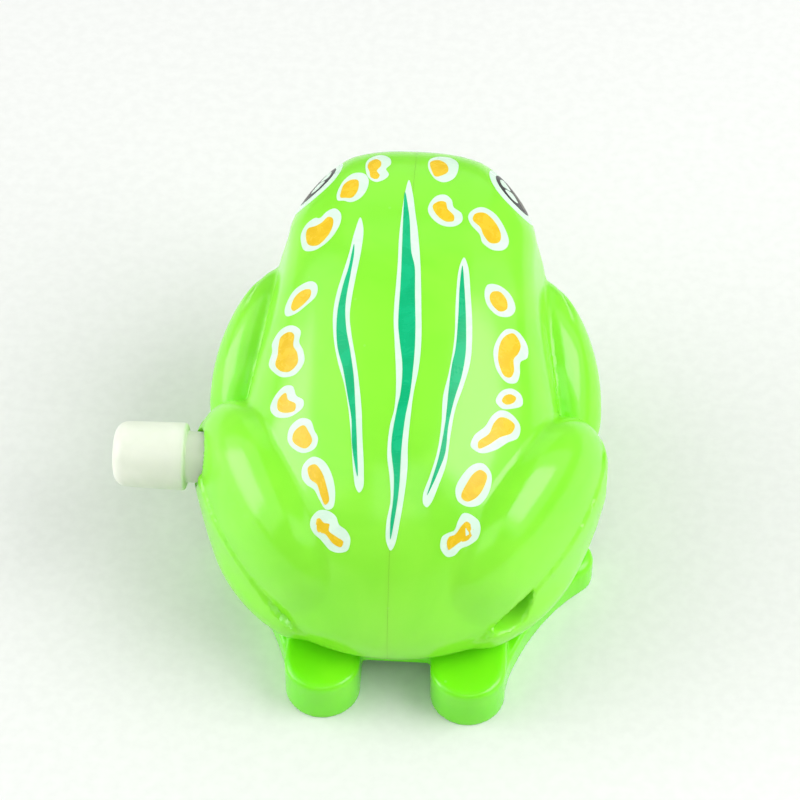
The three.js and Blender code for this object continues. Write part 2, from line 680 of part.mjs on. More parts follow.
const arbor = barX(ARBOR_RADIUS, ARBOR_Y, ARBOR_Z, KNOB_INNER_X - 4, MOTOR_OUTER + 1, 20);
place('winding_arbor', arbor, materials.steel);

// Great gear: free on the arbor, with a post that holds the click.

const CLICK_POST_RADIUS = 0.7;
const CLICK_POST_REACH = 5.6;
const clickPost = [ARBOR_Y, ARBOR_Z + CLICK_POST_REACH];

const greatGear = gear(GREAT_TEETH, toIdler + Math.PI / GREAT_TEETH, ARBOR_Y, ARBOR_Z, ...GREAT_X)
  .add(barX(CLICK_POST_RADIUS, ...clickPost, GREAT_X[0] + 0.1, RATCHET_X[1], 12))
  .subtract(barX(ARBOR_RADIUS + RUN, ARBOR_Y, ARBOR_Z, -FAR, FAR, 20));
place('great_gear', greatGear, materials.brass);

// Ratchet wheel, fixed on the arbor: the click slips over it when the toy is wound and drives
// the great gear when the spring lets go.

function ratchetOutline() {
  const points = [];
  for (let i = 0; i < RATCHET_TEETH; i += 1) {
    const angle = i / RATCHET_TEETH * 2 * Math.PI;
    for (const radius of [RATCHET_RADIUS - RATCHET_DEPTH, RATCHET_RADIUS]) {
      points.push(new THREE.Vector2(
        ARBOR_Y + radius * Math.cos(angle), ARBOR_Z + radius * Math.sin(angle)));
    }
  }
  return new THREE.Shape(points.reverse());
}

const ratchetWheel = slabX(ratchetOutline(), ...RATCHET_X)
  .subtract(barX(ARBOR_RADIUS + FIT, ARBOR_Y, ARBOR_Z, -FAR, FAR, 20));
place('ratchet_wheel', ratchetWheel, materials.steel);

// Click: a thin steel strip from the post to just outside the ratchet's teeth.

function clickOutline() {
  const tip = RATCHET_RADIUS + CLICK_CLEARANCE;
  const bow = tip + 1.25;
  const [postY, postZ] = [clickPost[0] - CLICK_POST_RADIUS - 0.1, clickPost[1]];
  const shape = new THREE.Shape();
  shape.moveTo(postY, postZ);
  shape.quadraticCurveTo(ARBOR_Y - bow + 0.2, ARBOR_Z + bow, ARBOR_Y - tip, ARBOR_Z);
  shape.lineTo(ARBOR_Y - tip - CLICK_STRIP, ARBOR_Z);
  shape.quadraticCurveTo(ARBOR_Y - bow - 0.2, ARBOR_Z + bow + 0.4, postY, postZ + CLICK_STRIP);
  return shape;
}

place('click', slabX(clickOutline(), ...RATCHET_X, 8), materials.springSteel);

// Knob

const knobOuter = KNOB_INNER_X - KNOB_LENGTH;
const knob = turnedX([
  [knobOuter, 0], [knobOuter + 0.25, KNOB_RADIUS * 0.55], [knobOuter + 0.8, KNOB_RADIUS * 0.86],
  [knobOuter + 1.8, KNOB_RADIUS], [KNOB_INNER_X - 0.4, KNOB_RADIUS],
  [KNOB_INNER_X, KNOB_RADIUS - 0.4], [KNOB_INNER_X, NECK_RADIUS], [NECK_INNER_X, NECK_RADIUS],
  [NECK_INNER_X, 0],
], ARBOR_Y, ARBOR_Z, 32)
  .subtract(barX(ARBOR_RADIUS + FIT, ARBOR_Y, ARBOR_Z, KNOB_INNER_X - 4.5, 0, 20));
place('winding_knob', knob, materials.knob);

// Mainspring: a flat strip wound in a spiral, its inner end at the arbor.

function spiral(offset, fromRadius, toRadius) {
  const points = [];
  const steps = SPRING_TURNS * 14;
  for (let i = 0; i <= steps; i += 1) {
    const t = i / steps;
    const angle = t * SPRING_TURNS * 2 * Math.PI + Math.PI;
    const radius = fromRadius + (toRadius - fromRadius) * t + offset;
    points.push(new THREE.Vector2(
      ARBOR_Y + radius * Math.cos(angle), ARBOR_Z + radius * Math.sin(angle)));
  }
  return points;
}

const springInner = ARBOR_RADIUS + 0.3;
const springOutline = [
  ...spiral(SPRING_STRIP, springInner, SPRING_OUTER - SPRING_STRIP),
  ...spiral(0, springInner, SPRING_OUTER - SPRING_STRIP).reverse(),
];
const SPRING_X = GREAT_X[0] - 0.7 - SPRING_WIDTH;
place('mainspring', slabX(new THREE.Shape(springOutline), SPRING_X, SPRING_X + SPRING_WIDTH),
  materials.springSteel);

// Idler: a large wheel and a small pinion in one moulding, free on a riveted pin.

const SHAFT_HALF = MOTOR_OUTER + 0.6;
const idlerPin = barX(SHAFT_RADIUS, IDLER.x, IDLER.y, -SHAFT_HALF, SHAFT_HALF, 16);
place('idler_pin', idlerPin, materials.steel);

const idlerGear = gear(PINION_TEETH, toIdler + Math.PI, IDLER.x, IDLER.y, PINION_X[0], PINION_X[1] + 0.1)
  .add(gear(IDLER_TEETH, idlerToCam + Math.PI / IDLER_TEETH, IDLER.x, IDLER.y, ...IDLER_X))
  .subtract(barX(SHAFT_RADIUS + RUN, IDLER.x, IDLER.y, -FAR, FAR, 16));
place('idler_gear', idlerGear, materials.gear);

// Cam shaft, with its pinion and the snail cam.

const camShaft = barX(SHAFT_RADIUS, CAM_SHAFT_Y, CAM_SHAFT_Z, -SHAFT_HALF, SHAFT_HALF, 16);
place('cam_shaft', camShaft, materials.steel);

const camPinion = gear(PINION_TEETH, idlerToCam + Math.PI, CAM_SHAFT_Y, CAM_SHAFT_Z, ...CAM_PINION_X)
  .subtract(barX(SHAFT_RADIUS + FIT, CAM_SHAFT_Y, CAM_SHAFT_Z, -FAR, FAR, 16));
place('cam_pinion', camPinion, materials.gear);

function snailOutline() {
  const points = [];
  const steps = 30;
  for (let i = 0; i <= steps; i += 1) {
    const t = i / steps;
    const angle = THREE.MathUtils.degToRad(STEP_ANGLE - 358 * (1 - t));
    const radius = CAM_MAX - (CAM_MAX - CAM_MIN) * t;
    points.push(new THREE.Vector2(
      CAM_SHAFT_Y + radius * Math.cos(angle), CAM_SHAFT_Z + radius * Math.sin(angle)));
  }
  return new THREE.Shape(points);
}

const kickCam = slabX(snailOutline(), CAM_X, CAM_X + CAM_WIDTH)
  .subtract(barX(SHAFT_RADIUS + FIT, CAM_SHAFT_Y, CAM_SHAFT_Z, -FAR, FAR, 16));
place('kick_cam', kickCam, materials.gear);

// Hind legs: both feet, their arms, the bar between the heels and the crank that the cam holds.

function webbedFoot(side) {
  const at = ([x, y]) => [LEG_OFFSET_X + side * x, y];
  const [heelX, heelY] = at(HEEL);
  const [toeX, toeY] = at(TOE);
  const web = new THREE.Shape();
  const corner = (x, y) => [LEG_OFFSET_X + side * x, y];
  web.moveTo(...corner(HEEL[0] + HEEL_RADIUS * 0.97, HEEL[1] + 1));
  web.quadraticCurveTo(...corner(15.6, -13.6), ...corner(TOE[0] + 1.5, TOE[1] - 2.6));
  web.lineTo(...corner(TOE[0] - 1.5, TOE[1] + 2.6));
  web.quadraticCurveTo(...corner(12.5, -10), ...corner(LEG_ARM_X + 0.5, -13));
  web.lineTo(...corner(LEG_ARM_X + 0.5, HEEL[1]));
  const heel = barZ(HEEL_RADIUS, heelX, heelY, 0, HEEL_HEIGHT, 24)
    .intersect(barZ(HEEL_RADIUS + HEEL_HEIGHT - HEEL_BEVEL, heelX, heelY, 0, HEEL_HEIGHT, 24,
      HEEL_RADIUS - HEEL_BEVEL));
  const toe = barZ(TOE_RADIUS, toeX, toeY, 0, TOE_HEIGHT, 18)
    .intersect(barZ(TOE_RADIUS + TOE_HEIGHT - HEEL_BEVEL, toeX, toeY, 0, TOE_HEIGHT, 18,
      TOE_RADIUS - HEEL_BEVEL));
  const block = box([heelX - HEEL_RADIUS + HEEL_BEVEL, heelY, 0],
    [heelX + HEEL_RADIUS - HEEL_BEVEL, heelY + HEEL_LENGTH, HEEL_HEIGHT]);
  const apron = box([heelX - HEEL_RADIUS, heelY, 0],
    [heelX + HEEL_RADIUS, heelY + HEEL_LENGTH, HEEL_HEIGHT - HEEL_BEVEL]);
  return joined(heel, block, apron, toe, slabZ(web, 0, WEB_HEIGHT, 8));
}

function legArm(side) {
  const [near, far] = [LEG_ARM_X, LEG_ARM_X + LEG_ARM_WIDTH];
  const [left, right] = side > 0 ? [LEG_OFFSET_X + near, LEG_OFFSET_X + far]
    : [LEG_OFFSET_X - far, LEG_OFFSET_X - near];
  return box([left, HEEL[1] + 2, LEG_ARM_BOTTOM], [right, LEG_PIN_Y, LEG_ARM_TOP])
    .add(barX(1.9, LEG_PIN_Y, LEG_PIN_Z, left, right, 18));
}

function hindLegs() {
  const half = CRANK_THICKNESS / 2;
  const crank = box([CRANK_X[0], LEG_PIN_Y - half, LEG_PIN_Z],
    [CRANK_X[1], LEG_PIN_Y + half, CRANK_TOP]);
  const crankRoot = barX(1.9, LEG_PIN_Y, LEG_PIN_Z, CRANK_X[0], LEG_OFFSET_X + LEG_ARM_X + 1, 18);
  const heelBar = box([LEG_OFFSET_X - HEEL[0], HEEL[1] + 1.8, HEEL_HEIGHT - 1.2 - HEEL_BAR_THICKNESS],
    [LEG_OFFSET_X + HEEL[0], HEEL[1] + 3.8, HEEL_HEIGHT - 1.2]);
  return joined(webbedFoot(1), webbedFoot(-1), legArm(1), legArm(-1), crank, crankRoot, heelBar)
    .subtract(barX(LEG_PIN_RADIUS + RUN, LEG_PIN_Y, LEG_PIN_Z, -FAR, FAR, 18));
}

place('hind_legs', hindLegs(), materials.legs);

const legPin = barX(LEG_PIN_RADIUS, LEG_PIN_Y, LEG_PIN_Z, -LEG_PIN_HALF, LEG_PIN_HALF, 18);
place('leg_pivot_pin', legPin, materials.steel);

// Kick spring: a torsion coil round the leg pin, one tang on the plate and one on the legs.

function kickSpring() {
  const points = [];
  const steps = KICK_TURNS * 8;
  const halfLength = 2.6;
  for (let i = 0; i <= steps; i += 1) {
    const t = i / steps;
    const angle = Math.PI / 2 + t * KICK_TURNS * 2 * Math.PI;
    points.push(new THREE.Vector3(-halfLength + 2 * halfLength * t,
      LEG_PIN_Y + KICK_COIL_RADIUS * Math.cos(angle), LEG_PIN_Z + KICK_COIL_RADIUS * Math.sin(angle)));
  }
  const path = new THREE.CatmullRomCurve3(points);
  const section = new THREE.Shape();
  section.absarc(0, 0, KICK_WIRE / 2, 0, 2 * Math.PI, false);
  const geometry = new THREE.ExtrudeGeometry(section, {
    steps: steps, extrudePath: path, bevelEnabled: false, curveSegments: 2,
  });
  const high = LEG_PIN_Z + KICK_COIL_RADIUS;
  const tang = box([-halfLength - 0.3, LEG_PIN_Y - 7, high - 0.25],
    [-halfLength + 0.25, LEG_PIN_Y, high + 0.2]);
  return solidFrom(geometry).add(tang);
}

place('kick_spring', kickSpring(), materials.springSteel);

// The frog's own origin is under the middle of its whole outline, on the ground.
const whole = new THREE.Box3().setFromObject(frog);
const middle = whole.getCenter(new THREE.Vector3());
frog.position.set(-middle.x, -middle.y, -whole.min.z);

export default frog;
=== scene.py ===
# %% [markdown]
# # A wind-up frog in moulded plastic
# A lesson in building a small clockwork toy in Blender: two glossy half shells that meet at a
# seam, pads of ink printed on the back, sprung hind legs, a milky knob and the screws below.
# The CAD frame gives every place and size. This script makes the fine surfaces around it.

# %% Load the frame
import json
import math

import bmesh
import bpy
import numpy as np
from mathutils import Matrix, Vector
from mathutils.geometry import delaunay_2d_cdt


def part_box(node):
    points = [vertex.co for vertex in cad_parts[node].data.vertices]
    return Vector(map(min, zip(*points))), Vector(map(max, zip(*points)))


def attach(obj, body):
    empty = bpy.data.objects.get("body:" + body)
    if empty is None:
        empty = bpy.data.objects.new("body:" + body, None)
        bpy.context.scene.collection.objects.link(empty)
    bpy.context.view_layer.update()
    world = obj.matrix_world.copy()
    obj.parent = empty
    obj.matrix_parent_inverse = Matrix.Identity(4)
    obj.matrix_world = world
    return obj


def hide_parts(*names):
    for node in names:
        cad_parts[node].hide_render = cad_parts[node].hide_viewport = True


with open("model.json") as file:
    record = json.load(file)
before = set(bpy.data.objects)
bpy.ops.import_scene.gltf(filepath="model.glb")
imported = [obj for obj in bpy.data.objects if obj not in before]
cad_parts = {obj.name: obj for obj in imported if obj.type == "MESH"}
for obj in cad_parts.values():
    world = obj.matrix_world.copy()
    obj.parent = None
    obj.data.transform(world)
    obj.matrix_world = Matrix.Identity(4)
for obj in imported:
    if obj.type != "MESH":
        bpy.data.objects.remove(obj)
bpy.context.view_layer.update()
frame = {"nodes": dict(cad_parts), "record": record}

# %% [markdown]
# ## Where the frog stands
# A toy maker draws the frog from its seam, in millimetres, with the nose along +Y. The frame is
# in metres and centred on the whole outline, knob included. One shift ties the two together: the
# seam lies half a gap inside the right shell, and the arbor is a known way behind the middle.

# %% Millimetres from the seam to metres in the frame
MM = 0.001
ARBOR_Y, ARBOR_Z = -4.1, 18.0

CAD_SEAM_GAP = 0.1
seam_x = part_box("shell_right")[0].x - CAD_SEAM_GAP / 2 * MM
arbor_low, arbor_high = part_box("winding_arbor")
body_y = (arbor_low.y + arbor_high.y) / 2 - ARBOR_Y * MM
SHIFT = np.array([seam_x, body_y, 0.0])


def in_frame(points):
    return np.asarray(points, float) * MM + SHIFT


def in_toy(corner):
    return (np.array(corner) - SHIFT) / MM


print("seam at", round(seam_x, 5), "middle at", round(body_y, 5), "metres")

# %% [markdown]
# ## Distance forms
# Moulded toys are soft shapes run into each other with fillets. Sculpting or box modelling could
# make them, but every fillet would then be done by hand. Here each lump is a function that gives
# the distance from a point to its surface, negative inside, and two lumps join by a smooth
# minimum whose radius is the fillet. The same formulas made the CAD shells, so they agree.

# %% Turned points, eggs, boxes and rods
def turned(points, centre, pitch=0.0, yaw=0.0):
    x, y, z = (points - np.array(centre)).T
    c, s = math.cos(math.radians(yaw)), math.sin(math.radians(yaw))
    x, y = x * c + y * s, -x * s + y * c
    c, s = math.cos(math.radians(pitch)), math.sin(math.radians(pitch))
    y, z = y * c + z * s, -y * s + z * c
    return np.stack([x, y, z])


def egg(points, centre, radii, pitch=0.0, yaw=0.0):
    local = turned(points, centre, pitch, yaw)
    size = np.array(radii)[:, None]
    near = np.sqrt(((local / size) ** 2).sum(0))
    slope = np.sqrt(((local / size ** 2) ** 2).sum(0))
    return near * (near - 1) / np.maximum(slope, 1e-9)


def rounded_box(points, centre, radii, power, pitch=0.0):
    local = np.abs(turned(points, centre, pitch)) / np.array(radii)[:, None]
    return ((local ** power).sum(0) ** (1 / power) - 1) * min(radii) * 0.9


def tapered_rod(points, start, end, start_radius, end_radius):
    start, end = np.array(start), np.array(end)
    along = end - start
    t = np.clip((points - start) @ along / (along @ along), 0, 1)
    gap = np.linalg.norm(points - start - t[:, None] * along, axis=1)
    return gap - (start_radius + (end_radius - start_radius) * t)


def bar_x(points, y, z, radius):
    return np.hypot(points[:, 1] - y, points[:, 2] - z) - radius


def bar_z(points, x, y, radius):
    return np.hypot(points[:, 0] - x, points[:, 1] - y) - radius


def between(value, low, high):
    return np.maximum(low - value, value - high)


def blend(a, b, radius):
    overlap = np.maximum(radius - np.abs(a - b), 0) / radius
    return np.minimum(a, b) - overlap * overlap * radius / 4


def trim(a, b, radius):
    return -blend(-a, -b, radius)


def cut(a, hole, radius):
    return trim(a, -hole, radius)


def fade(value, low, high):
    t = np.clip((value - low) / (high - low), 0, 1)
    return t * t * (3 - 2 * t)


print("an egg of half height 16.5 measured at its middle:",
      round(float(egg(np.zeros((1, 3)), (0, 0, 0.01), (19.3, 23.5, 16.5))[0]), 2))

# %% [markdown]
# ## From a form to a mesh
# Marching cubes leaves slivers, and a voxel remesh rounds what it touches. A surface net puts one
# vertex in every lattice cell that the surface passes through and joins neighbours with quads,
# and a few Newton steps then slide each vertex exactly on to the form. The lattice is placed so
# that one column of cells straddles the seam, whose vertices can then be set right on it.

# %% Surface nets
def slope_of(form, points, step=0.01):
    here = form(points)
    rise = [form(points + step * axis) - here for axis in np.eye(3)]
    return here, np.stack(rise, axis=1) / step


def lattice(form, low, high, cell):
    first = np.floor(np.array(low) / cell).astype(int)
    count = np.ceil(np.array(high) / cell).astype(int) - first
    xs, ys, zs = [(first[k] + 0.5 + np.arange(count[k])) * cell for k in range(3)]
    sheet = np.array(np.meshgrid(ys, zs, indexing="ij")).reshape(2, -1)
    values = np.empty(count, np.float32)
    for i, x in enumerate(xs):
        points = np.column_stack([np.full(sheet.shape[1], x), *sheet])
        values[i] = form(points).reshape(count[1], count[2])
    return first, values


def cell_points(values, cells):
    total, hits = np.zeros((len(cells), 3)), np.zeros(len(cells))
    for axis in range(3):
        step = np.eye(3, dtype=int)[axis]
        across, up = np.roll(step, 1), np.roll(step, 2)
        for start in (0 * step, across, up, across + up):
            near = values[tuple((cells + start).T)]
            far = values[tuple((cells + start + step).T)]
            crossed = (near < 0) != (far < 0)
            share = near[crossed] / (near[crossed] - far[crossed])
            total[crossed] += start + step * share[:, None]
            hits += crossed
    return cells + total / hits[:, None]


def net_quads(inside, number):
    quads = []
    for axis in range(3):
        step = np.eye(3, dtype=int)[axis]
        first, second = np.roll(step, 1), np.roll(step, 2)
        near = np.delete(inside, -1, axis)
        far = np.delete(inside, 0, axis)
        edges = np.argwhere(near != far)
        edges = edges[(edges @ (first + second) > 0) & (edges @ first > 0) & (edges @ second > 0)]
        room = np.array(number.shape)
        edges = edges[((edges @ first) < room @ first) & ((edges @ second) < room @ second)]
        leaving = near[tuple(edges.T)]
        ring = [edges, edges - first, edges - first - second, edges - second]
        quad = np.stack([number[tuple(corner.T)] for corner in ring], axis=1)
        quads.append(np.where(leaving[:, None], quad, quad[:, ::-1]))
    return np.concatenate(quads)


def surface_net(form, low, high, cell, seam=False):
    first, values = lattice(form, low, high, cell)
    inside = values < 0
    size = np.array(inside.shape) - 1
    filled = sum(inside[i:i + size[0], j:j + size[1], k:k + size[2]].astype(np.int8)
                 for i in (0, 1) for j in (0, 1) for k in (0, 1))
    active = (filled > 0) & (filled < 8)
    cells = np.argwhere(active)
    number = np.full(active.shape, -1)
    number[active] = np.arange(len(cells))
    points = (first + 0.5 + cell_points(values, cells)) * cell
    on_seam = (cells[:, 0] + first[0] == -1) & seam
    points[on_seam, 0] = 0
    for _ in range(3):
        gap, slope = slope_of(form, points)
        slope[on_seam, 0] = 0
        move = slope * (gap / np.maximum((slope ** 2).sum(1), 0.1))[:, None]
        points -= np.clip(move, -cell / 2, cell / 2)
    return points, net_quads(inside, number)


# %% Making a Blender object from points and faces
def make_piece(name, points, faces, materials, body, replaces=(), sharp=38.0):
    mesh = bpy.data.meshes.new(name)
    mesh.from_pydata(in_frame(points).tolist(), [], [list(map(int, face)) for face in faces])
    mesh.validate()
    mesh.shade_smooth()
    mesh.set_sharp_from_angle(angle=math.radians(sharp))
    piece = bpy.data.objects.new(name, mesh)
    bpy.context.scene.collection.objects.link(piece)
    for material in materials:
        mesh.materials.append(material)
    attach(piece, body)
    if replaces:
        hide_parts(*replaces)
    print(f"{name}: {len(mesh.vertices)} points, {len(mesh.polygons)} faces")
    return piece


FINE = 1.0

# %% [markdown]
# ## Node groups shared by the materials
# Moulded plastic is never one flat colour. It carries slow cloudiness from the flow of the melt,
# hair scratches from handling, and a little dust that settles on what faces up. Each effect is a
# small node group with its own strengths, so the shell, the legs and the knob can share it.
# The groups give only colours, masks and heights; the shader itself stays in each material.

# %% Helpers for node groups
def new_group(name, inputs, outputs):
    group = bpy.data.node_groups.new(name, "ShaderNodeTree")
    for label, kind, value in inputs:
        socket = group.interface.new_socket(name=label, in_out="INPUT", socket_type=kind)
        if value is not None:
            socket.default_value = value
    for label, kind in outputs:
        group.interface.new_socket(name=label, in_out="OUTPUT", socket_type=kind)
    way_in = group.nodes.new("NodeGroupInput")
    way_out = group.nodes.new("NodeGroupOutput")
    return group, way_in, way_out


def add_node(tree, kind, links=(), **settings):
    node = tree.nodes.new(kind)
    for key, value in settings.items():
        if hasattr(node, key):
            setattr(node, key, value)
        else:
            node.inputs[key.replace("_", " ")].default_value = value
    for socket, source in links:
        tree.links.new(source, node.inputs[socket])
    return node


def math_node(tree, operation, first, second):
    node = tree.nodes.new("ShaderNodeMath")
    node.operation = operation
    for socket, value in zip(node.inputs, (first, second)):
        if isinstance(value, (int, float)):
            socket.default_value = value
        else:
            tree.links.new(value, socket)
    return node.outputs[0]


def mapped(tree, value, low, high, to_low=0.0, to_high=1.0):
    node = tree.nodes.new("ShaderNodeMapRange")
    node.interpolation_type = "SMOOTHSTEP"
    tree.links.new(value, node.inputs["Value"])
    for label, number in (("From Min", low), ("From Max", high),
                          ("To Min", to_low), ("To Max", to_high)):
        if isinstance(number, (int, float)):
            node.inputs[label].default_value = number
        else:
            tree.links.new(number, node.inputs[label])
    return node.outputs["Result"]


def mixed(tree, factor, first, second):
    node = tree.nodes.new("ShaderNodeMix")
    node.data_type = "RGBA"
    for socket, value in ((node.inputs[0], factor), (node.inputs[6], first),
                          (node.inputs[7], second)):
        if isinstance(value, (int, float, tuple)):
            socket.default_value = value
        else:
            tree.links.new(value, socket)
    return node.outputs[2]


# %% Cloudy plastic: slow changes of colour and gloss
def build_cloudy():
    group, way_in, way_out = new_group(
        "cloudy plastic",
        [("Deep Color", "NodeSocketColor", (0.2, 0.8, 0.02, 1)),
         ("Pale Color", "NodeSocketColor", (0.3, 0.9, 0.05, 1)),
         ("Cloud Size", "NodeSocketFloat", 60.0),
         ("Gloss Low", "NodeSocketFloat", 0.12), ("Gloss High", "NodeSocketFloat", 0.22)],
        [("Color", "NodeSocketColor"), ("Roughness", "NodeSocketFloat")])
    place = add_node(group, "ShaderNodeTexCoord")
    slow = add_node(group, "ShaderNodeTexNoise", [("Vector", place.outputs["Object"]),
                                                  ("Scale", way_in.outputs["Cloud Size"])],
                    Detail=3.0, Roughness=0.55, Distortion=0.6)
    speck = add_node(group, "ShaderNodeTexNoise", [("Vector", place.outputs["Object"])],
                     Scale=2600.0, Detail=2.0)
    cloud = mapped(group, slow.outputs["Fac"], 0.3, 0.7)
    grain = math_node(group, "MULTIPLY", speck.outputs["Fac"], 0.12)
    amount = math_node(group, "ADD", math_node(group, "MULTIPLY", cloud, 0.9), grain)
    color = mixed(group, amount, way_in.outputs["Deep Color"], way_in.outputs["Pale Color"])
    group.links.new(color, way_out.inputs["Color"])
    gloss = mapped(group, slow.outputs["Fac"], 0.3, 0.75,
                   way_in.outputs["Gloss Low"], way_in.outputs["Gloss High"])
    group.links.new(gloss, way_out.inputs["Roughness"])
    return group


# %% Hair scratches, and dust on what faces up
def build_scratches():
    group, way_in, way_out = new_group(
        "hair scratches",
        [("Amount", "NodeSocketFloat", 0.5), ("Size", "NodeSocketFloat", 300.0)],
        [("Mask", "NodeSocketFloat"), ("Height", "NodeSocketFloat")])
    place = add_node(group, "ShaderNodeTexCoord")
    masks = []
    for turn, stretch in ((0.5, 22.0), (-0.9, 30.0), (1.9, 26.0)):
        lay = add_node(group, "ShaderNodeMapping", [("Vector", place.outputs["Object"])])
        lay.inputs["Rotation"].default_value = (0.2 * turn, 0.4 * turn, turn)
        lay.inputs["Scale"].default_value = (1.0, stretch, 1.0)
        noise = add_node(group, "ShaderNodeTexNoise",
                         [("Vector", lay.outputs["Vector"]), ("Scale", way_in.outputs["Size"])],
                         Detail=1.5, Distortion=0.3)
        masks.append(mapped(group, noise.outputs["Fac"], 0.69, 0.75))
    both = math_node(group, "MAXIMUM", math_node(group, "MAXIMUM", masks[0], masks[1]), masks[2])
    mask = math_node(group, "MULTIPLY", both, way_in.outputs["Amount"])
    group.links.new(mask, way_out.inputs["Mask"])
    group.links.new(math_node(group, "SUBTRACT", 1.0, mask), way_out.inputs["Height"])
    return group


def build_dust():
    group, way_in, way_out = new_group(
        "settled dust", [("Amount", "NodeSocketFloat", 0.3)], [("Mask", "NodeSocketFloat")])
    place = add_node(group, "ShaderNodeTexCoord")
    shape = add_node(group, "ShaderNodeNewGeometry")
    facing = add_node(group, "ShaderNodeSeparateXYZ", [("Vector", shape.outputs["Normal"])])
    up = mapped(group, facing.outputs["Z"], 0.2, 0.95)
    motes = add_node(group, "ShaderNodeTexVoronoi", [("Vector", place.outputs["Object"])],
                     Scale=420.0, Randomness=1.0)
    specks = mapped(group, motes.outputs["Distance"], 0.10, 0.06)
    patch = add_node(group, "ShaderNodeTexNoise", [("Vector", place.outputs["Object"])],
                     Scale=90.0, Detail=3.0)
    where = mapped(group, patch.outputs["Fac"], 0.55, 0.72)
    mask = math_node(group, "MULTIPLY", math_node(group, "MULTIPLY", specks, where), up)
    mask = math_node(group, "MULTIPLY", mask, way_in.outputs["Amount"])
    group.links.new(mask, way_out.inputs["Mask"])
    return group


# %% Drawn or rolled metal: fine lines in one direction
def build_drawn():
    group, way_in, way_out = new_group(
        "drawn metal",
        [("Dark Color", "NodeSocketColor", (0.4, 0.4, 0.4, 1)),
         ("Light Color", "NodeSocketColor", (0.7, 0.7, 0.7, 1)),
         ("Line Scale", "NodeSocketFloat", 900.0)],
        [("Color", "NodeSocketColor"), ("Roughness", "NodeSocketFloat"),
         ("Height", "NodeSocketFloat")])
    place = add_node(group, "ShaderNodeTexCoord")
    lay = add_node(group, "ShaderNodeMapping", [("Vector", place.outputs["Object"])])
    lay.inputs["Scale"].default_value = (0.04, 1.0, 1.0)
    lines = add_node(group, "ShaderNodeTexNoise",
                     [("Vector", lay.outputs["Vector"]), ("Scale", way_in.outputs["Line Scale"])],
                     Detail=4.0, Roughness=0.6)
    stain = add_node(group, "ShaderNodeTexNoise", [("Vector", place.outputs["Object"])],
                     Scale=160.0, Detail=4.0)
    amount = math_node(group, "MULTIPLY", lines.outputs["Fac"], mapped(
        group, stain.outputs["Fac"], 0.25, 0.7, 0.5, 1.4))
    color = mixed(group, amount, way_in.outputs["Dark Color"], way_in.outputs["Light Color"])
    group.links.new(color, way_out.inputs["Color"])
    group.links.new(mapped(group, amount, 0.1, 0.8, 0.42, 0.22), way_out.inputs["Roughness"])
    group.links.new(lines.outputs["Fac"], way_out.inputs["Height"])
    return group


CLOUDY, SCRATCHES, DUST, DRAWN = build_cloudy(), build_scratches(), build_dust(), build_drawn()
print("node groups:", [group.name for group in bpy.data.node_groups])


# %% [markdown]
# ## The plastics
# The green is a polystyrene with a bright, slightly clear pigment: light gets a millimetre or two
# into it and comes back, which keeps thin toes and edges glowing. A subsurface share gives that,
# and a low roughness gives the wet shine. The knob is polypropylene, milky and a bit duller.

# %% A material for moulded plastic
DUST_COLOR = (0.86, 0.9, 0.82, 1)
PLASTIC_IOR = 1.56


def use_group(material, group, **values):
    node = material.node_tree.nodes.new("ShaderNodeGroup")
    node.node_tree = group
    for label, value in values.items():
        node.inputs[label.replace("_", " ")].default_value = value
    return node


def shader_of(material):
    material.use_nodes = True
    return material.node_tree.nodes["Principled BSDF"]


def moulded(name, deep, pale, gloss, cloud=60.0, inner=0.15, glow=(0.5, 1.0, 0.2),
            depth=0.0015, dust_amount=0.25, scratch=0.16):
    material = bpy.data.materials.new(name)
    shader = shader_of(material)
    tree = material.node_tree
    cloudy = use_group(material, CLOUDY, Deep_Color=(*deep, 1), Pale_Color=(*pale, 1),
                       Cloud_Size=cloud, Gloss_Low=gloss[0], Gloss_High=gloss[1])
    scratches = use_group(material, SCRATCHES, Amount=scratch, Size=260.0)
    dust = use_group(material, DUST, Amount=dust_amount)
    dusty = mixed(tree, dust.outputs["Mask"], cloudy.outputs["Color"], DUST_COLOR)
    tree.links.new(dusty, shader.inputs["Base Color"])
    worn = math_node(tree, "MULTIPLY", scratches.outputs["Mask"], 0.35)
    rough = math_node(tree, "ADD", cloudy.outputs["Roughness"], worn)
    rough = math_node(tree, "ADD", rough, math_node(tree, "MULTIPLY", dust.outputs["Mask"], 0.4))
    tree.links.new(rough, shader.inputs["Roughness"])
    bump = add_node(tree, "ShaderNodeBump", [("Height", scratches.outputs["Height"])],
                    Strength=0.12, Distance=0.00002)
    tree.links.new(bump.outputs["Normal"], shader.inputs["Normal"])
    shader.inputs["Subsurface Weight"].default_value = inner
    shader.inputs["Subsurface Radius"].default_value = glow
    shader.inputs["Subsurface Scale"].default_value = depth
    shader.inputs["IOR"].default_value = PLASTIC_IOR
    return material


shell_green = moulded("shell green", (0.235, 0.815, 0.022), (0.295, 0.890, 0.040), (0.15, 0.22))
leg_green = moulded("leg green", (0.175, 0.800, 0.006), (0.235, 0.880, 0.012), (0.14, 0.22),
                    inner=0.3, dust_amount=0.15)
knob_white = moulded("milky knob", (0.76, 0.80, 0.68), (0.86, 0.89, 0.78), (0.34, 0.46),
                     cloud=140.0, inner=0.3, glow=(1.0, 1.0, 0.8), dust_amount=0.1)
print("plastics:", shell_green.name, leg_green.name, knob_white.name)

# %% [markdown]
# ## The inks
# The back is pad printed: a silicone pad lays white first, then teal and amber on top. Each
# layer is a hair thick with a soft gloss, and its solid areas show a faint dither and scratches.
# Painting a texture would need an image, so the inks are real thin layers with noisy colour.

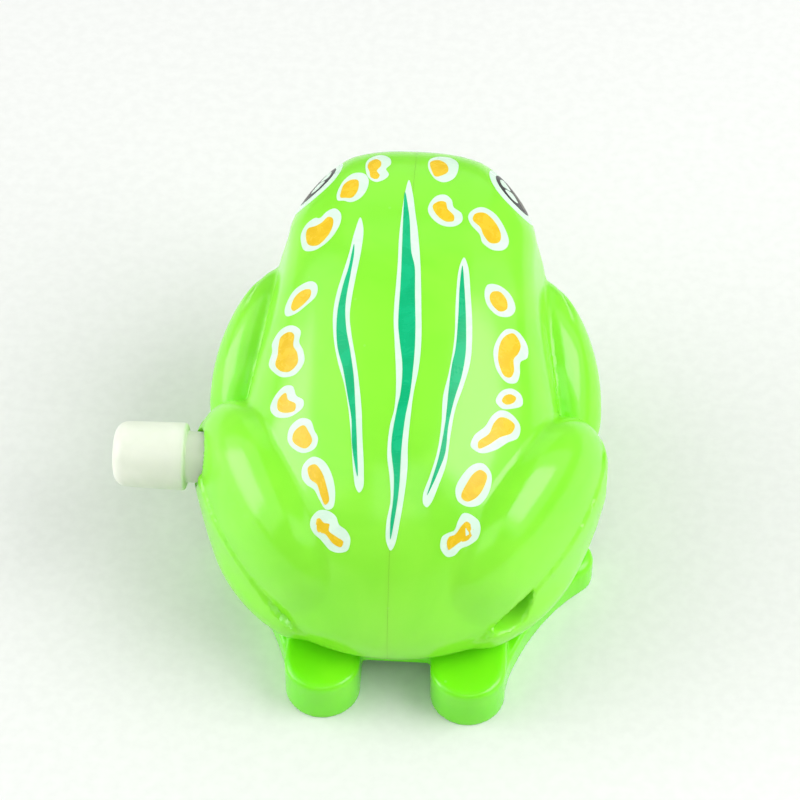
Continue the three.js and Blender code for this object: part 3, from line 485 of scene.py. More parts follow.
# %% Ink materials
def ink(name, deep, pale, dither=900.0, rough=0.22, shine=0.3):
    material = bpy.data.materials.new(name)
    shader = shader_of(material)
    tree = material.node_tree
    cloudy = use_group(material, CLOUDY, Deep_Color=(*deep, 1), Pale_Color=(*pale, 1),
                       Cloud_Size=dither, Gloss_Low=rough, Gloss_High=rough + 0.1)
    scratches = use_group(material, SCRATCHES, Amount=0.5, Size=420.0)
    tree.links.new(cloudy.outputs["Color"], shader.inputs["Base Color"])
    worn = math_node(tree, "MULTIPLY", scratches.outputs["Mask"], 0.3)
    tree.links.new(math_node(tree, "ADD", cloudy.outputs["Roughness"], worn),
                   shader.inputs["Roughness"])
    shader.inputs["Specular IOR Level"].default_value = shine
    bump = add_node(tree, "ShaderNodeBump", [("Height", scratches.outputs["Height"])],
                    Strength=0.1, Distance=0.00001)
    tree.links.new(bump.outputs["Normal"], shader.inputs["Normal"])
    return material


white_ink = ink("white ink", (0.66, 0.87, 0.71), (0.72, 0.92, 0.76), 500.0)
teal_ink = ink("teal ink", (0.000, 0.44, 0.17), (0.002, 0.52, 0.22), 300.0)
amber_ink = ink("amber ink", (0.80, 0.50, 0.008), (0.88, 0.59, 0.020), 700.0)
black_ink = ink("black ink", (0.004, 0.004, 0.004), (0.012, 0.011, 0.010), 600.0, shine=0.1)
brown_ink = ink("brown ink", (0.030, 0.022, 0.012), (0.075, 0.055, 0.030), 800.0, shine=0.1)

# %% [markdown]
# ## The metals
# The frame plates, pins and screws are zinc plated steel, the springs are blued strip, and the
# great gear is stamped brass. Rolling and drawing leave fine lines, so one group makes the lines
# and each metal gives it a colour. The gears are natural acetal, off-white and waxy.

# %% Metal materials
def drawn_metal(name, dark, light, lines=900.0):
    material = bpy.data.materials.new(name)
    shader = shader_of(material)
    tree = material.node_tree
    drawn = use_group(material, DRAWN, Dark_Color=(*dark, 1), Light_Color=(*light, 1),
                      Line_Scale=lines)
    tree.links.new(drawn.outputs["Color"], shader.inputs["Base Color"])
    tree.links.new(drawn.outputs["Roughness"], shader.inputs["Roughness"])
    shader.inputs["Metallic"].default_value = 1.0
    bump = add_node(tree, "ShaderNodeBump", [("Height", drawn.outputs["Height"])],
                    Strength=0.15, Distance=0.00001)
    tree.links.new(bump.outputs["Normal"], shader.inputs["Normal"])
    return material


plated_steel = drawn_metal("plated steel", (0.42, 0.43, 0.44), (0.68, 0.69, 0.70))
blued_steel = drawn_metal("blued spring steel", (0.10, 0.11, 0.16), (0.26, 0.28, 0.36), 1400.0)
stamped_brass = drawn_metal("stamped brass", (0.52, 0.34, 0.10), (0.80, 0.60, 0.26), 700.0)
acetal = moulded("natural acetal", (0.66, 0.65, 0.57), (0.76, 0.75, 0.68), (0.35, 0.5),
                 cloud=200.0, inner=0.15, glow=(1.0, 1.0, 0.9), dust_amount=0.05)

# %% [markdown]
# ## Driving sizes of the shell
# These are the sizes a mould maker would hold: the wall, the rim height, and the lumps that make
# the torso, the head, the thighs and the arms. Each is the same as in the CAD frame.

# %% Torso, head and limbs
WALL = 1.2
RIM_Z = 8.0
PLATE_TOP, PLATE_BOTTOM = 8.4, 6.6
REST_GAP = 0.3
ELBOW, HAND = (19.3, 6.5, 15.8), (15.5, 17.5, 4.5)
ELBOW_RADIUS, HAND_RADIUS = 4.3, 3.0
EYE_SPOT = np.array([11.6, 27.5, 34.1])
EYE_STAND_OFF = 0.5    # from that spot to the flat itself
EYE_WAY = np.array([0.742, 0.373, 0.548]) / np.linalg.norm([0.742, 0.373, 0.548])


def folded(points, middle=0.0):
    mirrored = points.copy()
    mirrored[:, 0] = np.abs(points[:, 0] - middle)
    return mirrored


def torso(points):
    p = folded(points)
    trunk = egg(p, (0, -2, 18), (19.3, 23.5, 16.5), 22)
    jaw = egg(p, (0, 18.5, 24), (16.3, 14.5, 9.5))
    crown = rounded_box(p, (0, 18.5, 29), (15.3, 15, 10), 2.6, 6)
    eye_flat = (p - EYE_SPOT) @ EYE_WAY - EYE_STAND_OFF
    head = trim(blend(jaw, crown, 3), eye_flat, 1.5)
    squeezed = p.copy()
    squeezed[:, 1] = np.where(p[:, 1] > 0, p[:, 1] * 1.2, p[:, 1])
    belt = rounded_box(squeezed, (0, 0.2, 10.5), (23.2, 25.9, 9.4), 2.2)
    return blend(blend(trunk, head, 7), belt, 3)


def frog_form(points):
    p = folded(points)
    thigh = egg(p, (14.9, -9.6, 15.5), (7.3, 15.2, 11.5), 3, -31)
    upper_arm = egg(p, (18.1, 11.8, 18.9), (5.2, 11.6, 6.1), 33, 19)
    forearm = tapered_rod(p, ELBOW, HAND, ELBOW_RADIUS, HAND_RADIUS)
    return blend(blend(torso(p), thigh, 0.7), blend(upper_arm, forearm, 1), 0.5)


nose = [round(float(frog_form(np.array([[0.0, y, 27.0]]))[0]), 2) for y in (30, 32, 34)]
print("distance to the form ahead of the nose:", nose)

# %% [markdown]
# ## Creases and lips
# The folded shank shows as a band under the thigh. It stands out by a third of a millimetre below a
# line that falls from the knee to the tail. Modelling it as a piece would leave a hard seam;
# taking from the distance below a soft line does the same and keeps the surface smooth. The
# mouth is a groove round the jaw, made by adding to the distance.

# %% The outside with its fine relief
CREASE_START, CREASE_SLOPE = (11.3, 10.9), 0.65
CREASE_DEPTH = 0.32    # how far the shank stands out
MOUTH_Z, MOUTH_RISE = 24.6, 0.030
MOUTH_WIDTH, MOUTH_DEPTH = 0.42, 0.5


def shank_step(p):
    line = CREASE_START[1] + CREASE_SLOPE * (p[:, 0] - CREASE_START[0])
    below = 1 - fade(p[:, 2] - line, -0.25, 0.25)
    along = fade(p[:, 0], 9.0, 13.0) * (1 - fade(p[:, 1], -3.0, 3.5))
    return CREASE_DEPTH * below * along


def mouth_line(p):
    height = MOUTH_Z + MOUTH_RISE * p[:, 0]
    near = np.exp(-((p[:, 2] - height) / MOUTH_WIDTH) ** 2)
    return MOUTH_DEPTH * near * fade(p[:, 1], 13.0, 18.0)


def nostril(p):
    gap = np.linalg.norm((p - np.array([2.6, 31.6, 31.4])) / np.array([0.55, 1.5, 0.8]), axis=1)
    return 0.5 * (1 - fade(gap, 0.6, 1.2))


def outside(points):
    p = folded(points)
    return frog_form(p) - shank_step(p) + mouth_line(p) + nostril(p)


print("step under the thigh:", round(float(shank_step(np.array([[18.0, -10.0, 9.0]]))[0]), 3), "mm")

# %% [markdown]
# ## The two half shells
# The real shell is two mouldings glued at a seam down the back, open below, with screw posts
# inside, a round hole for the knob on the left and a crescent slot under the right thigh. Both
# halves come from one net, split at the seam, so their edges meet exactly. Each half is pulled
# back a hair from the seam and its cut face is filled, which gives the fine parting line.

# %% The shell's form
NECK_RADIUS = 3.1
SCREW_HOLE = 0.97
POSTS = ((6.0, 16.4), (9.6, -15.2))
POST_RADIUS, POST_BORE_DEPTH = 2.0, 7.3
SLOT_CENTRE = np.array([14.5, -20.8, 13.0])
SLOT_HEADING, SLOT_RISE = math.radians(36.4), math.radians(29)
SLOT_HALF = 3.3                  # from its middle to each point
SLOT_ABOVE, SLOT_BELOW = 0.2, 1.8    # how far each edge bows at the middle


def cavity(points):
    level = points.copy()
    level[:, 2] = RIM_Z
    mouth = np.maximum(torso(level) + WALL, points[:, 2] - PLATE_TOP - REST_GAP)
    return np.minimum(torso(points) + WALL, mouth)


def crescent(points):
    heading, rise = SLOT_HEADING, SLOT_RISE
    dx, dy, dz = (points - SLOT_CENTRE).T
    level = dx * math.cos(heading) + dy * math.sin(heading)
    through = dy * math.cos(heading) - dx * math.sin(heading)
    along = level * math.cos(rise) + dz * math.sin(rise)
    across = dz * math.cos(rise) - level * math.sin(rise)
    arch = 1 - (along / SLOT_HALF) ** 2
    lens = np.maximum(across - SLOT_ABOVE * arch, -SLOT_BELOW * arch - across) * 0.8
    return np.maximum(lens, between(through, -3, 8))


def shell_form(points):
    wall = cut(outside(points), cavity(points), 0.25)
    wall = trim(wall, RIM_Z - points[:, 2], 0.5)
    inside = np.maximum(torso(points) + WALL / 2, PLATE_TOP + REST_GAP - points[:, 2])
    p = folded(points)
    for x, y in POSTS:
        post = np.maximum(bar_z(p, x, y, POST_RADIUS), inside)
        wall = blend(wall, post, 0.4)
        bore = np.maximum(bar_z(p, x, y, SCREW_HOLE), p[:, 2] - PLATE_TOP - POST_BORE_DEPTH)
        wall = cut(wall, bore, 0.1)
    knob_hole = np.maximum(bar_x(points, ARBOR_Y, ARBOR_Z, NECK_RADIUS + REST_GAP), points[:, 0])
    return cut(cut(wall, knob_hole, 0.4), crescent(points), 0.3)


# %% Splitting and closing the halves
SEAM_GAP = 0.006


def half_of(points, quads, side):
    kept = quads[(points[quads][:, :, 0] * side > -1e-6).all(axis=1)]
    used = np.unique(kept)
    place = np.full(len(points), -1)
    place[used] = np.arange(len(used))
    half = points[used].copy()
    half[np.abs(half[:, 0]) < 1e-6, 0] = side * SEAM_GAP
    return half, place[kept]


def close_seam(piece, side):
    bm = bmesh.new()
    bm.from_mesh(piece.data)
    rim = [edge for edge in bm.edges if edge.is_boundary]
    for edge in rim:
        edge.smooth = False
    made = bmesh.ops.triangle_fill(bm, edges=rim, use_beauty=False, use_dissolve=False)
    faces = [item for item in made["geom"] if isinstance(item, bmesh.types.BMFace)]
    for face in faces:
        face.normal_update()
        face.smooth = False
        if face.normal.x * side > 0:
            face.normal_flip()
    left_open = sum(edge.is_boundary for edge in bm.edges)
    bm.to_mesh(piece.data)
    bm.free()
    print(piece.name, "seam closed with", len(faces), "faces, open edges left:", left_open)


shell_points, shell_quads = surface_net(shell_form, (-25, -28, 7), (25, 35, 41), 0.4 * FINE, True)
for name, side in (("shell_left", -1), ("shell_right", 1)):
    points, quads = half_of(shell_points, shell_quads, side)
    piece = make_piece(name + "_moulding", points, quads, [shell_green], "body", [name])
    close_seam(piece, side)

# %% [markdown]
# ## Printing on a curved back
# A pad printer presses flat art on to a curved body. The same idea works here: each patch is a
# closed outline drawn in plan, smoothed by a curve through a few points, filled with triangles
# fine enough to bend, and dropped on to the shell. A second copy a few hundredths above closes
# it into a thin solid layer, so the print has an edge and stays where it is in every view.

# %% Smooth outlines and thin layers
def smooth_loop(corners, spacing=0.16):
    corners = np.array(corners, float)
    loop = []
    for i in range(len(corners)):
        a, b, c, d = (corners[(i + k) % len(corners)] for k in (-1, 0, 1, 2))
        knots = np.cumsum([0.0] + [max(np.linalg.norm(q - p), 1e-6) ** 0.5
                                   for p, q in ((a, b), (b, c), (c, d))])
        steps = max(int(np.linalg.norm(c - b) / spacing), 1)
        for t in knots[1] + (knots[2] - knots[1]) * np.arange(steps) / steps:
            ab = a + (b - a) * (t - knots[0]) / (knots[1] - knots[0])
            bc = b + (c - b) * (t - knots[1]) / (knots[2] - knots[1])
            cd = c + (d - c) * (t - knots[2]) / (knots[3] - knots[2])
            abc = ab + (bc - ab) * (t - knots[0]) / (knots[2] - knots[0])
            bcd = bc + (cd - bc) * (t - knots[1]) / (knots[3] - knots[1])
            loop.append(abc + (bcd - abc) * (t - knots[1]) / (knots[2] - knots[1]))
    return np.array(loop)


def filled(loop, spacing=0.6):
    low, high = loop.min(0), loop.max(0)
    xs, ys = (np.arange(low[k] + spacing / 2, high[k], spacing) for k in (0, 1))
    grid = np.array(np.meshgrid(xs, ys)).reshape(2, -1).T
    after = np.roll(loop, -1, axis=0)
    inside = np.zeros(len(grid), bool)
    for (x0, y0), (x1, y1) in zip(loop, after):
        spans = (y0 > grid[:, 1]) != (y1 > grid[:, 1])
        edge_x = x0 + (grid[:, 1] - y0) * (x1 - x0) / (y1 - y0 if y1 != y0 else 1e-9)
        inside ^= spans & (grid[:, 0] < edge_x)
    clear = np.min(np.linalg.norm(grid[:, None] - loop[None], axis=2), axis=1) > spacing * 0.4
    every = np.concatenate([loop, grid[inside & clear]])
    result = delaunay_2d_cdt([Vector(p) for p in every], [], [list(range(len(loop)))], 1, 1e-5)
    return np.array([list(p) for p in result[0]]), [list(face) for face in result[2]]


def dropped(start, way):
    points = start.copy()
    for _ in range(70):
        points += np.array(way) * np.clip(outside(points) * 0.7, -1, 1)[:, None]
    return points


def layer(flat, faces, to_space, way, low, high):
    landed = dropped(to_space(flat), way)
    _, normal = slope_of(outside, landed)
    normal /= np.linalg.norm(normal, axis=1)[:, None]
    count = len(landed)
    points = np.concatenate([landed + normal * high, landed + normal * low])
    uses = {}
    upward = []
    for face in faces:
        a, b, c = (points[face[k]] for k in (0, 1, 2))
        facing = np.cross(b - a, c - a) @ normal[face[0]]
        upward.append(face if facing > 0 else face[::-1])
        for edge in zip(upward[-1], upward[-1][1:] + upward[-1][:1]):
            uses[edge] = True
    sides = [[b, a, a + count, b + count] for a, b in uses if (b, a) not in uses]
    under = [[i + count for i in face[::-1]] for face in upward]
    return points, upward + under + sides


class Print:
    """Collects the patches of one ink, to be made as one piece."""

    def __init__(self):
        self.points, self.faces, self.count = [], [], 0

    def add(self, points, faces):
        self.points.append(points)
        self.faces += [[i + self.count for i in face] for face in faces]
        self.count += len(points)

    def make(self, name, material):
        return make_piece(name, np.concatenate(self.points), self.faces, [material],
                          "body", sharp=50.0)


ABOVE_BACK = 45.0
WHITE_HEIGHT, COLOUR_HEIGHT, TOP_HEIGHT = 0.02, 0.04, 0.055
INK_THICKNESS = 0.03


def from_above(flat):
    return np.column_stack([flat, np.full(len(flat), ABOVE_BACK)])


def stamp(ink_print, corners, height):
    flat, faces = filled(smooth_loop(corners))
    ink_print.add(*layer(flat, faces, from_above, (0, 0, -1),
                         height - INK_THICKNESS, height))


white_print, teal_print, amber_print = Print(), Print(), Print()

# %% [markdown]
# ## Three stripes
# Down the back run three long leaf shapes, teal with a white border that wanders as brushed art
# does. The middle one crosses the seam, the outer two lean in towards the tail. Each outline
# goes once round in plan, in millimetres from the seam.

# %% Stripe outlines
STRIPES_WHITE = (
    [(-0.6, 23.3), (-0.95, 21), (-1.15, 17), (-1.2, 14), (-1.1, 10), (-1.1, 3), (-0.8, 0),
     (-0.3, -5), (-0.3, -8), (-0.7, -10), (-0.8, -13), (-0.4, -15), (-0.15, -17.2), (-0.5, -19),
     (-0.45, -20.4), (0.1, -21.1), (0.55, -20.7), (1.1, -18.5), (1.45, -16.2), (1.6, -14),
     (1.5, -12), (1.6, -9), (1.8, -6), (2.2, -3), (2.3, 0), (2.0, 5), (1.6, 10), (1.0, 15),
     (0.5, 18), (0.0, 21)],
    [(-6.05, 17.3), (-6.6, 15), (-7.0, 12), (-7.6, 9), (-8.1, 6.5), (-8.3, 4), (-8.0, 1),
     (-7.3, -2), (-6.3, -5), (-5.6, -8), (-5.1, -11), (-4.6, -14.5), (-4.25, -15.9),
     (-3.8, -16.4), (-3.4, -16.0), (-3.4, -14.5), (-3.8, -11), (-4.1, -8), (-4.6, -5),
     (-5.2, -2), (-5.9, 1), (-6.3, 3.5), (-6.2, 6), (-5.9, 9), (-5.6, 12), (-5.55, 15.5)],
    [(6.65, 12.1), (6.15, 10.5), (6.0, 6), (6.1, 1), (5.7, -3), (5.2, -6), (5.2, -9),
     (4.9, -12), (4.2, -14.5), (3.55, -16.3), (3.6, -17.1), (4.0, -17.35), (4.5, -16.9),
     (5.25, -15.2), (6.0, -13), (6.3, -10), (6.7, -7), (7.5, -4), (8.1, -1), (8.1, 3),
     (7.7, 7), (7.15, 11)],
)
STRIPES_TEAL = (
    [(-0.95, 21.2), (-0.9, 17), (-0.8, 14), (-0.6, 8), (-0.5, 2), (-0.2, 0), (0.3, -3),
     (0.3, -6), (0.0, -8), (-0.4, -12), (0.1, -15), (0.15, -17), (-0.05, -19), (0.03, -20.3),
     (0.4, -18.8), (0.75, -16.2), (0.8, -12), (1.0, -9), (1.4, -6), (1.6, -1), (1.5, 2),
     (1.2, 6), (0.9, 10), (0.4, 12), (-0.2, 17.5)],
    [(-6.5, 13.3), (-6.9, 10), (-7.4, 7.5), (-7.8, 4), (-7.5, 0), (-6.6, -3), (-5.9, -6),
     (-5.2, -9), (-4.9, -12), (-4.1, -14.9), (-4.35, -12), (-4.8, -8), (-5.3, -4), (-5.9, -1),
     (-6.6, 2), (-6.9, 5), (-6.6, 9), (-6.4, 12)],
    [(6.5, 10.9), (6.35, 8), (6.4, 4), (6.3, 0), (6.0, -2), (5.8, -5), (5.6, -9),
     (5.1, -12.5), (4.4, -15), (4.0, -16.3), (4.6, -15.2), (5.2, -13.8), (5.8, -12),
     (6.0, -9), (6.5, -6), (7.2, -3), (7.5, 0), (7.3, 4), (6.9, 8)],
)
for outline in STRIPES_WHITE:
    stamp(white_print, outline, WHITE_HEIGHT)
for outline in STRIPES_TEAL:
    stamp(teal_print, outline, COLOUR_HEIGHT)
print("stripes:", len(STRIPES_WHITE), "each with a coloured middle")

# %% [markdown]
# ## The spots
# Nine amber spots with white borders run down each flank, no two alike: beans, kidneys and drops.
# Each is two outlines, the border first and the core second, again in plan.

# %% Spot outlines on the left
SPOTS_LEFT = (
    ([(-5.4, 28.3), (-4.4, 28.8), (-3.3, 27.9), (-3.0, 26.4), (-3.5, 25.3), (-3.1, 24.2),
      (-3.6, 23.3), (-4.6, 22.9), (-5.5, 23.7), (-6.0, 25.4), (-6.0, 27.2)],
     [(-5.6, 27.0), (-4.9, 27.6), (-4.3, 27.0), (-4.2, 25.9), (-4.6, 25.0), (-4.2, 24.0),
      (-4.5, 23.4), (-5.2, 23.7), (-5.5, 24.9), (-5.8, 26.0)]),
    ([(-8.4, 23.9), (-7.4, 24.8), (-6.2, 24.6), (-5.5, 23.4), (-5.6, 21.6), (-6.3, 20.3),
      (-7.3, 19.8), (-8.3, 20.2), (-9.0, 20.4), (-9.2, 21.4), (-8.9, 22.8)],
     [(-8.4, 23.0), (-7.6, 23.6), (-6.8, 23.4), (-6.6, 22.4), (-6.8, 21.2), (-7.3, 20.5),
      (-8.1, 20.6), (-8.7, 20.8), (-8.7, 21.8)]),
    ([(-12.6, 18.3), (-11.6, 18.6), (-11.0, 18.3), (-10.2, 19.0), (-9.3, 19.2), (-8.5, 18.3),
      (-8.4, 16.9), (-9.0, 15.3), (-10.0, 14.1), (-11.3, 13.6), (-12.5, 14.2), (-13.1, 15.8),
      (-13.2, 17.3)],
     [(-12.4, 17.4), (-11.5, 17.3), (-10.7, 17.5), (-10.0, 18.1), (-9.4, 17.7), (-9.3, 16.6),
      (-9.8, 15.2), (-10.9, 14.2), (-12.0, 14.7), (-12.5, 16.0)]),
    ([(-13.6, 9.1), (-12.4, 9.4), (-11.2, 9.2), (-10.5, 8.3), (-10.6, 7.0), (-11.6, 6.3),
      (-13.0, 5.9), (-14.1, 6.4), (-14.4, 7.7)],
     [(-13.2, 8.2), (-12.2, 8.5), (-11.3, 8.1), (-11.3, 7.2), (-12.2, 6.5), (-13.2, 6.4),
      (-13.6, 7.2)]),
    ([(-15.0, 5.1), (-14.0, 5.0), (-13.0, 4.4), (-12.1, 3.2), (-12.2, 2.0), (-11.6, 0.6),
      (-11.4, -0.9), (-12.3, -1.9), (-13.8, -1.5), (-15.1, 0.0), (-15.9, 1.8), (-15.6, 3.1),
      (-15.7, 4.4)],
     [(-14.6, 4.1), (-13.6, 4.0), (-12.9, 3.2), (-12.9, 1.9), (-12.3, 0.6), (-12.2, -0.7),
      (-13.0, -1.2), (-14.1, -0.6), (-15.0, 0.9), (-14.8, 2.0), (-14.8, 3.1)]),
    ([(-14.8, -3.3), (-13.7, -2.7), (-12.6, -3.2), (-12.0, -4.6), (-11.1, -5.5), (-11.1, -6.3),
      (-12.3, -6.8), (-13.8, -6.3), (-14.8, -5.3), (-15.2, -4.2)],
     [(-14.2, -3.9), (-13.4, -3.6), (-13.0, -4.6), (-12.0, -5.6), (-12.1, -6.3), (-13.3, -6.0),
      (-14.2, -5.1)]),
    ([(-12.5, -8.0), (-11.4, -7.5), (-10.1, -8.1), (-9.5, -9.4), (-9.0, -10.4), (-9.3, -11.3),
      (-10.6, -11.4), (-12.0, -10.4), (-12.7, -9.2)],
     [(-11.9, -8.7), (-10.9, -8.4), (-10.2, -9.3), (-9.7, -10.5), (-10.3, -11.0),
      (-11.4, -10.4), (-12.1, -9.5)]),
    ([(-10.6, -12.6), (-9.6, -12.1), (-8.2, -12.8), (-7.1, -14.4), (-6.6, -16.2),
      (-6.8, -17.3), (-7.6, -17.3), (-8.5, -16.2), (-9.1, -15.3), (-10.1, -14.5),
      (-10.7, -13.6)],
     [(-10.0, -13.0), (-9.2, -12.9), (-8.3, -13.9), (-7.7, -15.2), (-7.3, -16.7),
      (-7.7, -16.9), (-8.3, -16.0), (-8.8, -14.9), (-9.7, -14.1)]),
    ([(-9.3, -17.6), (-8.6, -17.2), (-7.5, -17.4), (-6.4, -18.1), (-6.0, -18.8), (-5.1, -19.4),
      (-4.6, -20.1), (-4.8, -20.8), (-5.6, -20.9), (-6.9, -20.5), (-8.1, -19.5), (-9.0, -18.9),
      (-9.4, -18.3)],
     [(-8.8, -17.9), (-8.4, -17.8), (-7.8, -18.3), (-7.1, -18.6), (-7.2, -19.0), (-6.2, -19.7),
      (-5.4, -20.2), (-5.6, -20.5), (-6.6, -20.1), (-7.6, -19.2), (-8.5, -18.8)]),
)

# %% Spot outlines on the right
SPOTS_RIGHT = (
    ([(1.7, 27.9), (2.6, 28.8), (4.0, 28.9), (5.0, 27.9), (5.2, 26.0), (4.7, 24.1), (3.6, 23.3),
      (2.6, 23.7), (1.8, 25.1), (1.5, 26.6)],
     [(1.8, 27.2), (2.7, 27.8), (3.7, 27.0), (4.0, 25.4), (3.4, 24.6), (2.6, 24.2),
      (2.0, 25.4)]),
    ([(2.1, 19.6), (2.9, 20.9), (3.9, 21.2), (4.7, 20.5), (5.0, 19.4), (6.0, 18.6), (6.1, 17.4),
      (5.2, 16.5), (3.9, 16.4), (2.7, 17.2), (2.0, 18.4)],
     [(2.5, 19.3), (3.3, 20.1), (4.0, 20.0), (4.3, 19.0), (5.1, 18.1), (5.1, 17.3),
      (4.2, 17.1), (3.1, 17.9)]),
    ([(7.2, 19.3), (8.4, 20.2), (9.9, 19.8), (11.2, 18.2), (11.8, 16.4), (11.2, 14.9),
      (9.9, 14.3), (8.7, 14.9), (8.3, 16.0), (7.2, 17.2), (6.8, 18.3)],
     [(7.6, 18.9), (8.7, 19.4), (10.0, 18.5), (10.8, 17.0), (10.6, 15.7), (9.6, 15.2),
      (8.8, 16.0), (8.3, 17.1), (7.4, 17.9)]),
    ([(9.6, 9.2), (11.0, 9.7), (12.4, 9.2), (13.0, 7.9), (12.4, 6.5), (11.0, 5.8), (9.8, 6.4),
      (9.3, 7.8)],
     [(10.2, 8.5), (11.1, 8.9), (11.9, 8.3), (12.0, 7.2), (11.1, 6.4), (10.2, 6.9),
      (9.9, 7.7)]),
    ([(13.5, 5.3), (14.6, 4.6), (14.7, 3.1), (13.9, 1.8), (13.9, 0.3), (13.5, -1.0),
      (12.4, -1.6), (11.3, -0.9), (10.7, 1.1), (11.2, 3.2), (12.2, 4.8)],
     [(13.0, 4.7), (13.8, 4.0), (13.6, 2.7), (13.1, 1.6), (13.2, 0.2), (12.8, -0.8),
      (12.1, -1.0), (11.4, 0.1), (11.3, 1.8), (11.8, 3.5)]),
    ([(13.3, -1.9), (14.2, -2.0), (14.4, -3.0), (13.3, -4.2), (12.0, -4.9), (11.3, -4.5),
      (11.6, -3.4), (12.3, -2.5)],
     [(13.0, -2.7), (13.6, -2.7), (13.4, -3.4), (12.5, -4.2), (12.0, -4.1), (12.2, -3.4)]),
    ([(13.0, -4.9), (14.2, -5.5), (14.1, -7.0), (12.9, -8.3), (11.5, -9.8), (9.8, -10.8),
      (8.7, -10.5), (9.0, -9.3), (10.2, -7.8), (11.0, -6.2), (11.9, -5.2)],
     [(12.8, -5.7), (13.6, -5.9), (13.3, -7.0), (12.0, -8.2), (10.6, -9.7), (9.6, -10.4),
      (9.5, -9.8), (10.7, -8.4), (11.2, -7.0), (11.9, -6.0)]),
    ([(10.3, -11.7), (11.2, -12.3), (11.1, -13.9), (10.1, -15.5), (8.6, -16.2), (7.5, -16.0),
      (7.2, -15.1), (7.9, -13.6), (9.1, -12.2)],
     [(10.0, -12.4), (10.7, -12.6), (10.4, -13.9), (9.6, -15.1), (8.5, -15.8), (7.9, -15.6),
      (8.5, -14.1), (9.3, -12.9)]),
    ([(7.7, -17.6), (8.2, -16.9), (9.1, -16.7), (10.0, -17.0), (10.3, -17.9), (10.0, -18.8),
      (9.1, -19.3), (8.2, -19.6), (7.4, -20.3), (6.5, -20.6), (5.8, -20.2), (5.9, -19.4),
      (6.6, -18.9), (7.3, -18.5)],
     [(8.2, -17.8), (8.7, -17.4), (9.3, -17.6), (9.5, -18.1), (9.0, -18.8), (8.0, -19.2),
      (7.2, -19.8), (6.7, -20.1), (6.5, -19.7), (6.7, -19.2), (7.4, -18.8)]),
)
for border, core in SPOTS_LEFT + SPOTS_RIGHT:
    stamp(white_print, border, WHITE_HEIGHT)
    stamp(amber_print, core, COLOUR_HEIGHT)
white_print.make("print_white", white_ink)
teal_print.make("print_teal", teal_ink)
amber_print.make("print_amber", amber_ink)
print("spots:", len(SPOTS_LEFT), "left and", len(SPOTS_RIGHT), "right")

# %% [markdown]
# ## The eyes
# Each eye is printed on a flat of the head that looks up and outwards: a white disc, a black
# ring, a dark brown lower half and two square highlights. The outlines are drawn in the flat's
# own plane, u forward along it and v up it, and pressed on along the flat's normal.

# %% Printing on the head flats
EYE_U = np.array([-EYE_WAY[1], EYE_WAY[0], 0.0]) / np.hypot(EYE_WAY[0], EYE_WAY[1])
EYE_V = np.cross(EYE_U, -EYE_WAY)
EYE_CENTRE = EYE_SPOT + EYE_WAY * EYE_STAND_OFF + EYE_U * -1.6 + EYE_V * 0.6


def eye_mapper(side):
    mirror = np.array([side, 1, 1])

    def to_space(flat):
        spot = EYE_CENTRE + flat[:, :1] * EYE_U + flat[:, 1:] * EYE_V + EYE_WAY * 3
        return spot * mirror
    return to_space, -EYE_WAY * mirror


def oval(u, v, half_u, half_v, count=28, start=0.0, turn=360.0):
    angles = np.radians(start + turn * np.arange(count) / (count if turn == 360 else count - 1))
    return [(u + half_u * math.cos(a), v + half_v * math.sin(a)) for a in angles]


EYE_ART = (
    ("eye_white", white_ink, WHITE_HEIGHT, [oval(0, 0, 4.3, 4.1)]),
    ("eye_black", black_ink, COLOUR_HEIGHT, [oval(0.2, 0, 3.1, 3.1)]),
    ("eye_brown", brown_ink, TOP_HEIGHT, [oval(0.2, 0, 2.5, 2.5, 16, 190, 160)]),
    ("eye_highlight", white_ink, TOP_HEIGHT,
     [[(-1.6, 0.4), (-1.7, 1.6), (-0.3, 2.3), (-0.1, 0.5)],
      [(0.45, 0.6), (0.4, 2.3), (1.6, 2.0), (2.3, 1.0), (2.2, 0.5)]]),
)
for name, material, height, outlines in EYE_ART:
    eye_print = Print()
    for side in (-1, 1):
        to_space, way = eye_mapper(side)
        for outline in outlines:
            flat, faces = filled(smooth_loop(outline, 0.14), 0.5)
            eye_print.add(*layer(flat, faces, to_space, way,
                                 height - INK_THICKNESS, height))
    eye_print.make(name, material)

# %% [markdown]
# ## The belly plate and the front legs
# One moulding drops into the rim. It carries the front legs, whose forearms meet the elbows of
# the shell, two lugs for the leg pin, a slot for the crank, and holes for eight screws. Making
# it as one form gives the web between the toes and the fillets where the forearms join.

# %% Belly plate form
LEG_PIN_Y, LEG_PIN_Z = 12.5, 4.3
LEG_MIDDLE = 0.8
FLANGE_SCREWS = ((9.55, -7.0), (9.55, 4.5))
TOES = ((-3.5, 3.5), (0.5, 5.0), (4.3, 2.5))


def front_leg(p):
    palm = (HAND[0], HAND[1] - 0.5, 2.0)
    leg = tapered_rod(p, ELBOW, HAND, ELBOW_RADIUS, HAND_RADIUS)
    for x, y in TOES:
        tip = (HAND[0] + x, HAND[1] + y, 1.6)
        leg = blend(leg, tapered_rod(p, palm, tip, 2.1, 1.5), 1.4)
    root = np.maximum(between(p[:, 0], 11, 17), between(p[:, 1], 9.5, 16))
    root = np.maximum(root, PLATE_BOTTOM - p[:, 2])
    leg = blend(leg, root, 1.0)
    return trim(leg, between(p[:, 2], 0, RIM_Z - REST_GAP), 0.3)


